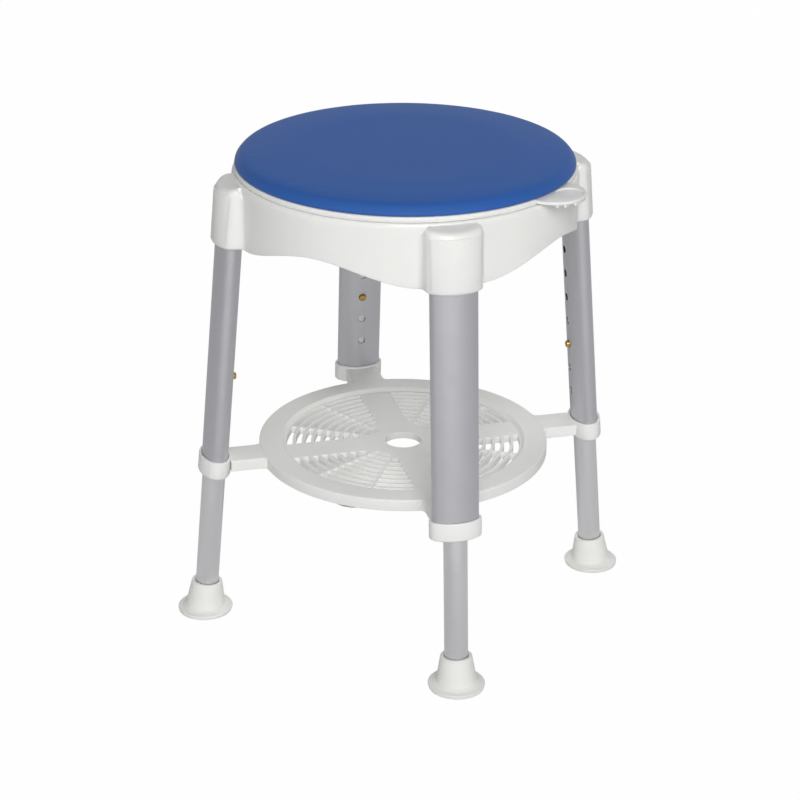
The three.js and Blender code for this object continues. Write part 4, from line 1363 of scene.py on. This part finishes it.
@dataclass
class Shelf:
    """The slotted shelf with its border, arms and collars."""

    plan: Plan
    paint: Paintbox
    radius: float = 142.9
    depth: float = 11.6
    border: float = 22.3
    slope: float = 4.0
    step: float = 4.0
    grid: float = 7.4
    hub_hole: float = 18.2
    spoke: float = 32.0
    slots: int = 9
    pitch: float = 9.2
    slot: float = 6.0
    land: float = 0.6
    rib: float = 2.2
    shortest: float = 4.0
    fan: float = math.radians(15)
    arm_width: float = 33.0
    flare: float = 6.0
    fan_columns: int = 6
    middle_columns: int = 8

    @property
    def grid_edge(self) -> float:
        """Radius where the slotted grid meets the step of the border."""
        return self.radius - self.border - self.slope

    def column_angles(self, radius: float) -> list[tuple[float, bool]]:
        """Directions of the grid's columns over one quarter, centred on 0.

        Args:
            radius: where they are asked for.

        Returns:
            Each column's angle and whether the strip that starts there can hold a slot.
        """
        outer = max(radius, self.slot_radius(self.slots - 1) - self.slot / 2)
        spoke = math.pi / 4 - math.asin(self.spoke / 2 / outer)
        half_rib = self.rib / 2 / outer
        marks = [
            (-math.pi / 4, 2, False), (-spoke, self.fan_columns, True), (-self.fan - half_rib, 1, False),
            (-self.fan + half_rib, self.middle_columns, True), (self.fan - half_rib, 1, False),
            (self.fan + half_rib, self.fan_columns, True), (spoke, 2, False), (math.pi / 4, 0, False),
        ]
        columns = []
        for (start, count, slotted), (end, _, _) in zip(marks, marks[1:]):
            for i in range(count):
                columns.append((start + (end - start) * i / count, slotted))
        return columns

    def slot_radius(self, index: int) -> float:
        """Middle radius of a row of slots, counted from the border."""
        return self.grid_edge - self.land - self.slot / 2 - index * self.pitch

    def grid_rows(self) -> list[tuple[float, bool]]:
        """Radii of the grid's rows from the hub outwards, and whether a row of slots starts there."""
        rows = [(self.hub_hole, False), (self.hub_hole + 2.5, False), (27.0, False)]
        for index in reversed(range(self.slots)):
            middle = self.slot_radius(index)
            rows += [(middle - self.slot / 2, True), (middle + self.slot / 2, False)]
        rows.append((self.grid_edge + 0.8, False))
        return rows

    def grating(self) -> Object:
        """Presses the slotted disc: a polar net, without the slots, given its thickness and soft edges."""
        rows = self.grid_rows()
        top = self.plan.shelf_top - self.step
        nets = []
        for radius, _ in rows:
            ring = []
            for quarter in range(4):
                for angle, _ in self.column_angles(radius):
                    turn = angle + quarter * math.pi / 2
                    ring.append(Vector((radius * math.cos(turn), radius * math.sin(turn), top)))
            nets.append(ring)
        flags = [slotted for _ in range(4) for _, slotted in self.column_angles(100)]
        disc = drawn_ring("shelf_grating", nets[0])
        order = {i: i for i in range(len(nets[0]))}
        for ring in nets[1:]:
            order = led_to(disc, order, ring)
        bpy.ops.mesh.select_all(action="DESELECT")
        bpy.ops.mesh.select_mode(type="FACE")
        mesh = bmesh.from_edit_mesh(disc.data)
        for face in mesh.faces:
            face.select_set(self.is_slot(face.calc_center_median() / MM, rows, flags))
        bmesh.update_edit_mesh(disc.data)
        bpy.ops.mesh.delete(type="FACE")
        bpy.ops.mesh.select_mode(type="VERT")
        bpy.ops.mesh.select_all(action="SELECT")
        bpy.ops.mesh.normals_make_consistent(inside=False)
        bpy.ops.object.mode_set(mode="OBJECT")
        if disc.data.polygons[0].normal.z < 0:
            disc.data.flip_normals()
        solid = disc.modifiers.new("Thickness", "SOLIDIFY")
        solid.thickness = self.grid * MM
        solid.offset = -1.0
        bpy.ops.object.modifier_apply(modifier=solid.name)
        return softened_edges(disc, 0.5, 2, 50)

    def is_slot(self, spot: Vector, rows: Sequence[tuple[float, bool]], flags: Sequence[bool]) -> bool:
        """Tells whether a face of the net lies in a slot.

        Args:
            spot: middle of the face in millimetres.
            rows: the rows of the net.
            flags: for each column, whether it can hold a slot.

        Returns:
            True where the face is cut out.
        """
        radius = math.hypot(spot.x, spot.y)
        row = max((i for i, (r, _) in enumerate(rows) if r * 0.999 <= radius), default=0)
        if not rows[row][1]:
            return False
        angle = math.remainder(math.atan2(spot.y, spot.x), math.pi / 2)
        columns = [a for a, _ in self.column_angles(radius)]
        index = max((i for i, a in enumerate(columns) if a <= angle), default=0)
        if not flags[index]:
            return False
        spoke = math.pi / 4 - math.asin(self.spoke / 2 / radius)
        if abs(angle) > self.fan:
            return (spoke - self.fan - self.rib / 2 / radius) * radius > self.shortest
        return True

    def border_ring(self) -> Object:
        """Turns the plain border: a rolled outer edge, a flat, and a step down to the grid."""
        top, inner, edge = self.plan.shelf_top, self.radius - self.border, self.grid_edge
        floor, grid = top - self.depth, top - self.step
        return turned(
            "shelf_border",
            [
                (edge, grid - self.grid, 0.4), (edge + 2.6, grid - self.grid, 0.5),
                (edge + 2.6, top - 5.4, 0.8), (inner + 2.0, top - 3.0, 0.8),
                (self.radius - 2.6, top - 3.0, 0.8), (self.radius - 2.6, floor, 0.5),
                (self.radius, floor, 0.7), (self.radius, top, 1.6),
                (inner, top, 1.2), (edge + 1.2, grid + 0.1, 1.4),
                (edge, grid + 0.02, 0.4),
            ],
            224, 5,
        )

    def arm_outline(self, inset: float, height: float) -> Ring:
        """Plan of an arm, flared where it leaves the border.

        Args:
            inset: how far it is drawn inwards.
            height: the height of the ring.

        Returns:
            The closed ring.
        """
        half = self.arm_width / 2 - inset
        leg = self.plan.legs[0]
        end = leg.radius_at(self.plan.shelf_top) - OVAL.depth / 2 - 0.5
        start = self.radius - self.flare + 0.5
        blend = self.radius + self.flare
        side = [Vector((end, half, 0))]
        for i in range(9):
            t = i / 8
            x = blend * (1 - t) ** 2 + 2 * t * (1 - t) * (self.radius - 0.6) + start * t * t
            y = half * (1 - t) ** 2 + 2 * t * (1 - t) * half + (half + self.flare) * t * t
            side.append(Vector((x, y, 0)))
        ring = side + [Vector((p.x, -p.y, 0)) for p in reversed(side)]
        return [Vector((p.x, p.y, height)) for p in ring]

    def arm(self) -> Object:
        """Winds one arm: a channel, open below, with rolled top edges."""
        top, floor = self.plan.shelf_top - 0.3, self.plan.shelf_top - self.depth
        roll = 1.2
        rings = [
            self.arm_outline(2.9, top - 3.0), self.arm_outline(2.6, top - 3.3),
            self.arm_outline(2.5, floor + 0.5),
            self.arm_outline(2.1, floor), self.arm_outline(0.5, floor), self.arm_outline(0.0, floor + 0.5),
        ]
        for i in range(0, 5):
            turn = math.radians(22.5 * i)
            rings.append(self.arm_outline(roll * (1 - math.cos(turn)), top - roll * (1 - math.sin(turn))))
        return wound("shelf_arm", rings)

    def collar(self) -> Object:
        """Winds one collar: a sleeve round the tube with a lip under it."""
        high = (self.plan.shelf_top + 2.4) / math.cos(self.plan.legs[0].tilt)
        low = high - 17.7
        rings = [OVAL.ring(0.3, low + 2.0), OVAL.ring(0.3, high - 0.4), OVAL.ring(0.6, high)]
        for i in range(0, 4):
            turn = math.radians(30 * i)
            rings.append(OVAL.ring(2.8 - 0.8 * (1 - math.sin(turn)), high - 0.8 * (1 - math.cos(turn))))
        for i in range(0, 5):
            turn = math.radians(22.5 * i)
            rings.append(OVAL.ring(2.8 - 1.6 * (1 - math.cos(turn)), low + 1.6 * (1 - math.sin(turn))))
        rings.append(round_like(rings[0], 12.4, low))
        rings.append(round_like(rings[0], 12.0, low + 0.4))
        rings.append(round_like(rings[0], 12.0, low + 2.0))
        return wound("shelf_collar", rings, endless=True)

    def build(self) -> list[Object]:
        """Builds the shelf."""
        parts = [self.grating(), self.border_ring()]
        arm, collar = self.arm(), self.collar()
        for leg in self.plan.legs:
            parts.append(set_in_place(copied(arm, f"arm_{leg.side}"), leg.upright))
            parts.append(set_in_place(copied(collar, f"collar_{leg.side}"), leg.place))
        for pattern in (arm, collar):
            bpy.data.objects.remove(pattern, do_unlink=True)
        shelf = joined("slotted_shelf", parts)
        self.paint.coat(smoothed(shelf, 36), Finish.WHITE_ABS)
        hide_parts("shelf_tray")
        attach(shelf, "frame")
        return [shelf]


@dataclass
class LegSet:
    """The four telescopic legs with their buttons and feet."""

    plan: Plan
    paint: Paintbox
    tube_wall: float = 0.9
    extension_radius: float = 11.25
    extension_wall: float = 1.2
    hole: float = 7.8
    pitch: float = 25.4
    holes_above: int = 4
    holes_below: int = 2
    button_radius: float = 3.5
    button_reach: float = 2.9
    brim: float = 4.6
    cup_start: float = 7.4

    def drill(self, height: float, radius: float) -> Object:
        """A drill that reaches from the middle of the stool to the leg's axis.

        Args:
            height: where along the leg.
            radius: its radius.

        Returns:
            The cutter in the leg's frame.
        """
        put_tools_down()
        bpy.ops.mesh.primitive_cylinder_add(vertices=40, radius=radius * MM, depth=20 * MM)
        bit = bpy.context.object
        shift = Matrix.Translation((-14 * MM, 0, height * MM))
        bit.data.transform(shift @ Matrix.Rotation(math.pi / 2, 4, "Y"))
        return bit

    def outer_tube(self) -> Object:
        """Extrudes the oval tube and drills its height holes."""
        low = self.plan.collar_bottom + 4.6
        high = (self.plan.deck - 3.0) / math.cos(self.plan.legs[0].tilt) - 3.0
        inner = -self.tube_wall
        rings = [
            TUBE.ring(inner, low + 0.2, 96), TUBE.ring(inner, high, 96), TUBE.ring(0.0, high, 96),
            TUBE.ring(0.0, low + 0.3, 96), TUBE.ring(-0.3, low, 96),
        ]
        tube = wound("oval_tube", rings, endless=True)
        drills = [
            self.drill(self.plan.button + step * self.pitch, self.hole / 2)
            for step in range(-self.holes_below, self.holes_above + 1)
        ]
        cut_away(tube, drills)
        return smoothed(tube, 30)

    def extension(self) -> Object:
        """Turns the round tube and drills the hole of the button."""
        r, w = self.extension_radius, self.extension_wall
        low, high = 7.28, self.plan.button + 36.8
        tube = turned(
            "round_tube",
            [(r - w, low, 0.1), (r, low, 0.3), (r, high, 0.3), (r - w, high, 0.1)], 80, 2,
        )
        cut_away(tube, [self.drill(self.plan.button, self.hole / 2)])
        return smoothed(tube, 30)

    def button(self) -> Object:
        """Turns the snap button: a domed pin on a flange."""
        r = self.button_radius
        tip = OVAL.depth / 2 + self.button_reach
        seat = 7.45
        button = turned(
            "button_pin",
            [(0.0, seat, 0.0), (4.6, seat, 0.2), (4.6, seat + 1.0, 0.2), (r, seat + 1.0, 0.2), (r, tip, 2.9),
             (0.0, tip, 0.0)],
            40, 8,
        )
        turn = Matrix.Rotation(-math.pi / 2, 4, "Y")
        set_in_place(button, Matrix.Translation((0, 0, self.plan.button * MM)) @ turn)
        return smoothed(button, 40)

    def foot(self) -> Object:
        """Turns the foot: a flat treaded sole, a wide brim and a tapered cup that leans with the leg."""
        foot = turned(
            "cup_foot",
            [
                (0.0, 1.2, 0.0), (5.0, 1.2, 0.3), (5.4, 0.0, 0.3), (10.0, 0.0, 0.3), (10.4, 1.2, 0.3),
                (14.6, 1.2, 0.3), (15.0, 0.0, 0.3), (19.4, 0.0, 0.3), (19.8, 1.2, 0.3), (22.4, 1.2, 0.3),
                (22.8, 0.0, 0.3), (26.3, 0.0, 0.8), (27.3, 3.9, 0.9), (23.4, 4.7, 2.0), (19.2, 7.2, 2.6),
                (18.0, 14.5, 7.0), (15.0, 32.0, 1.0), (12.0, 32.0, 0.6), (11.5, 30.0, 0.6),
                (11.5, 6.0, 0.4), (0.0, 6.0, 0.0),
            ],
            96, 5,
        )
        lean = self.plan.legs[0].tilt
        for vertex in foot.data.vertices:
            x, z = vertex.co.x, vertex.co.z
            share = min(1.0, max(0.0, (z / MM - self.brim) / (self.cup_start - self.brim)))
            angle = lean * share
            vertex.co.x = x * math.cos(angle) - z * math.sin(angle) - z * (1 - share) * math.tan(lean)
            vertex.co.z = z * math.cos(angle) + x * math.sin(angle) * share
        out = Matrix.Translation((self.plan.legs[0].floor_radius * MM, 0, 0))
        return smoothed(set_in_place(foot, out), 40)

    def build(self) -> list[Object]:
        """Builds one of each piece and sets copies on the four legs."""
        patterns: list[tuple[str, Callable[[], Object], str, str, Finish, str, bool]] = [
            ("oval_tube", self.outer_tube, "outer_leg", "frame", Finish.OUTER_TUBE, "aluminium", True),
            ("round_tube", self.extension, "leg_extension", "leg_{}", Finish.INNER_TUBE, "aluminium", True),
            ("button_pin", self.button, "snap_button", "button_{}", Finish.BRASS, "brass", True),
            ("cup_foot", self.foot, "foot", "leg_{}", Finish.FOOT_RUBBER, "foot_rubber", False),
        ]
        made = []
        for name, make, stands_for, body, finish, slot, leaning in patterns:
            pattern = make()
            for leg in self.plan.legs:
                piece = copied(pattern, f"{name}_{leg.side}")
                set_in_place(piece, leg.place if leaning else leg.upright)
                self.paint.coat(piece, finish)
                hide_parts(f"{stands_for}_{leg.side}")
                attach(piece, body.format(leg.side))
                made.append(piece)
            bpy.data.objects.remove(pattern, do_unlink=True)
        return made


@dataclass
class HiddenParts:
    """CAD pieces that stay as they are and get a better finish."""

    frame: dict
    paint: Paintbox
    finishes: dict[str, Finish] = field(
        default_factory=lambda: {
            "glide_ring": Finish.ACETAL,
            "thrust_washer": Finish.ACETAL,
            "pivot_bolt": Finish.STEEL,
            "nut_washer": Finish.STEEL,
            "lock_nut": Finish.STEEL,
            "leg_guide": Finish.NYLON,
            "leg_bush": Finish.NYLON,
            "button_spring": Finish.SPRING_STEEL,
            "leg_screw": Finish.STEEL,
        }
    )

    def build(self) -> list[Object]:
        """Finishes the CAD pieces that are not replaced."""
        made = []
        for name, piece in self.frame["nodes"].items():
            for start, finish in self.finishes.items():
                if name.startswith(start):
                    made.append(self.paint.coat(piece, finish))
        return made


# ------------------------------------------------------------------------------------------ studio
@dataclass(frozen=True)
class AreaLamp:
    """A soft box: where it stands, what it looks at, its size and its power."""

    name: str
    place: tuple[float, float, float]
    target: tuple[float, float, float]
    size: tuple[float, float]
    power: float
    mirrored: bool = True

    def build(self) -> Object:
        """Hangs the lamp; one that is not mirrored leaves no highlight on glossy surfaces."""
        lamp = bpy.data.lights.new(self.name, "AREA")
        lamp.shape = "RECTANGLE"
        lamp.size, lamp.size_y = self.size
        lamp.energy = self.power
        holder = bpy.data.objects.new(self.name, lamp)
        holder.visible_glossy = self.mirrored
        bpy.context.collection.objects.link(holder)
        spot = Vector(self.place)
        holder.location = spot
        holder.rotation_euler = (Vector(self.target) - spot).to_track_quat("-Z", "Y").to_euler()
        return holder


@dataclass
class Studio:
    """Floor, backdrop, lamps and camera."""

    eye: tuple[float, float, float] = (1.015585, -1.750744, 1.115162)
    heading: float = math.radians(-59.80)
    pitch: float = math.radians(24.169)
    roll: float = math.radians(0.452)
    lens: float = 2243.24 * 36 / 800
    shift: float = -0.00055
    horizon_light: float = 0.74
    zenith_light: float = 0.05
    rear_share: float = 0.42
    front: tuple[float, float, float] = (0.62, -0.785, 0.0)
    horizon_end: float = 0.35
    zenith_start: float = 0.75
    sky_gloss: float = 0.12
    floor_tone: float = 0.7
    floor_white: float = 0.985
    floor_gloss: float = 0.12
    lamps: tuple[AreaLamp, ...] = (
        AreaLamp("front_soft_box", (2.0, -2.75, 2.7), (0.0, 0.0, 0.3), (1.8, 1.8), 98.0),
        AreaLamp("back_soft_box", (-0.75, 2.65, 2.1), (0.0, 0.0, 0.2), (1.8, 1.2), 35.0, mirrored=False),
    )

    def camera(self) -> Object:
        """Sets up the camera."""
        fwd = -Vector(
            (math.cos(self.heading) * math.cos(self.pitch), math.sin(self.heading) * math.cos(self.pitch),
             math.sin(self.pitch))
        )
        right = fwd.cross(Vector((0, 0, 1))).normalized()
        up = right.cross(fwd)
        across = right * math.cos(self.roll) + up * math.sin(self.roll)
        above = up * math.cos(self.roll) - right * math.sin(self.roll)
        turn = Matrix((across, above, -fwd)).transposed().to_4x4()
        data = bpy.data.cameras.new("camera")
        data.sensor_width = 36.0
        data.lens = self.lens
        data.shift_x = self.shift
        data.clip_start, data.clip_end = 0.05, 50.0
        holder = bpy.data.objects.new("camera", data)
        bpy.context.collection.objects.link(holder)
        holder.matrix_world = Matrix.Translation(self.eye) @ turn
        bpy.context.scene.camera = holder
        return holder

    def seen_share(self, tree: bpy.types.NodeTree, straight: float, mirrored: float) -> bpy.types.NodeSocket:
        """How much a ray sees of the plain white, by its kind.

        Args:
            tree: the tree that the nodes go into.
            straight: share for the camera and for rays through clear things.
            mirrored: share for rays that a glossy surface reflects.

        Returns:
            The socket that carries the share.
        """
        path = node(tree, "ShaderNodeLightPath")
        direct = node(
            tree, "ShaderNodeMath", {"operation": "MAXIMUM"},
            in0=path.outputs["Is Camera Ray"], in1=path.outputs["Is Transmission Ray"],
        )
        plain = node(
            tree, "ShaderNodeMath", {"operation": "MULTIPLY", (1,): straight}, in0=direct.outputs["Value"],
        )
        gloss = node(
            tree, "ShaderNodeMath", {"operation": "MULTIPLY", (1,): mirrored},
            in0=path.outputs["Is Glossy Ray"],
        )
        both = node(
            tree, "ShaderNodeMath", {"operation": "MAXIMUM"},
            in0=plain.outputs["Value"], in1=gloss.outputs["Value"],
        )
        return both.outputs["Value"]

    def world(self) -> None:
        """White surroundings: plain white to the eye; as light, brightest at the horizon in front."""
        world = bpy.data.worlds.new("studio")
        bpy.context.scene.world = world
        world.use_nodes = True
        tree = world.node_tree
        tree.nodes.clear()
        white = (1.0, 1.0, 1.0, 1.0)
        way = node(tree, "ShaderNodeTexCoord").outputs["Generated"]
        rise = node(tree, "ShaderNodeSeparateXYZ", Vector=way)
        level = node(
            tree, "ShaderNodeMapRange",
            {("From Min",): self.horizon_end, ("From Max",): self.zenith_start,
             ("To Min",): self.horizon_light, ("To Max",): self.zenith_light},
            Value=rise.outputs["Z"],
        )
        facing = node(tree, "ShaderNodeVectorMath", {"operation": "DOT_PRODUCT", (1,): self.front}, in0=way)
        share = node(
            tree, "ShaderNodeMapRange",
            {("From Min",): -0.6, ("From Max",): 0.6, ("To Min",): self.rear_share, ("To Max",): 1.0},
            Value=facing.outputs["Value"],
        )
        strength = node(
            tree, "ShaderNodeMath", {"operation": "MULTIPLY"},
            in0=level.outputs["Result"], in1=share.outputs["Result"],
        )
        light = node(tree, "ShaderNodeBackground", {("Color",): white}, Strength=strength.outputs["Value"])
        shown = node(tree, "ShaderNodeBackground", {("Color",): white, ("Strength",): 1.0})
        mix = node(tree, "ShaderNodeMixShader", in0=self.seen_share(tree, 1.0, self.sky_gloss))
        tree.links.new(light.outputs["Background"], mix.inputs[1])
        tree.links.new(shown.outputs["Background"], mix.inputs[2])
        node(tree, "ShaderNodeOutputWorld", Surface=mix.outputs["Shader"])

    def floor(self) -> Object:
        """Lays a white floor that keeps a faint shadow."""
        put_tools_down()
        bpy.ops.mesh.primitive_grid_add(x_subdivisions=8, y_subdivisions=8, size=16.0)
        floor = bpy.context.object
        floor.name = "studio_floor"
        set_in_place(floor, Matrix.Translation((0, 0, -0.0002)))
        material, tree = fresh("studio_floor_white")
        tone = (self.floor_tone,) * 3 + (1.0,)
        paint = node(tree, "ShaderNodeBsdfDiffuse", {("Color",): tone})
        glow = node(tree, "ShaderNodeEmission", {("Color",): (1.0, 1.0, 1.0, 1.0), ("Strength",): 1.0})
        mix = node(tree, "ShaderNodeMixShader", in0=self.seen_share(tree, self.floor_white, self.floor_gloss))
        tree.links.new(paint.outputs["BSDF"], mix.inputs[1])
        tree.links.new(glow.outputs["Emission"], mix.inputs[2])
        node(tree, "ShaderNodeOutputMaterial", Surface=mix.outputs["Shader"])
        floor.data.materials.append(material)
        return floor

    def build(self) -> None:
        """Sets up the whole studio."""
        self.camera()
        self.world()
        self.floor()
        for lamp in self.lamps:
            lamp.build()
        bpy.context.scene.view_settings.view_transform = "Standard"


def report(pieces: Iterable[Object]) -> None:
    """Logs each piece and its number of faces."""
    for piece in pieces:
        LOG.info("%s: %d faces", piece.name, len(piece.data.polygons))


def main() -> None:
    """Builds the stool around the frame."""
    logging.basicConfig(level=logging.INFO, format="%(name)s: %(message)s")
    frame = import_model()
    plan = Plan.read(frame)
    paint = Paintbox()
    Studio().build()
    for maker in (Seat(plan, paint), SeatBase(plan, paint), Shelf(plan, paint), LegSet(plan, paint),
                  HiddenParts(frame, paint)):
        report(maker.build())
    put_tools_down()


if __name__ == "__main__":
    main()
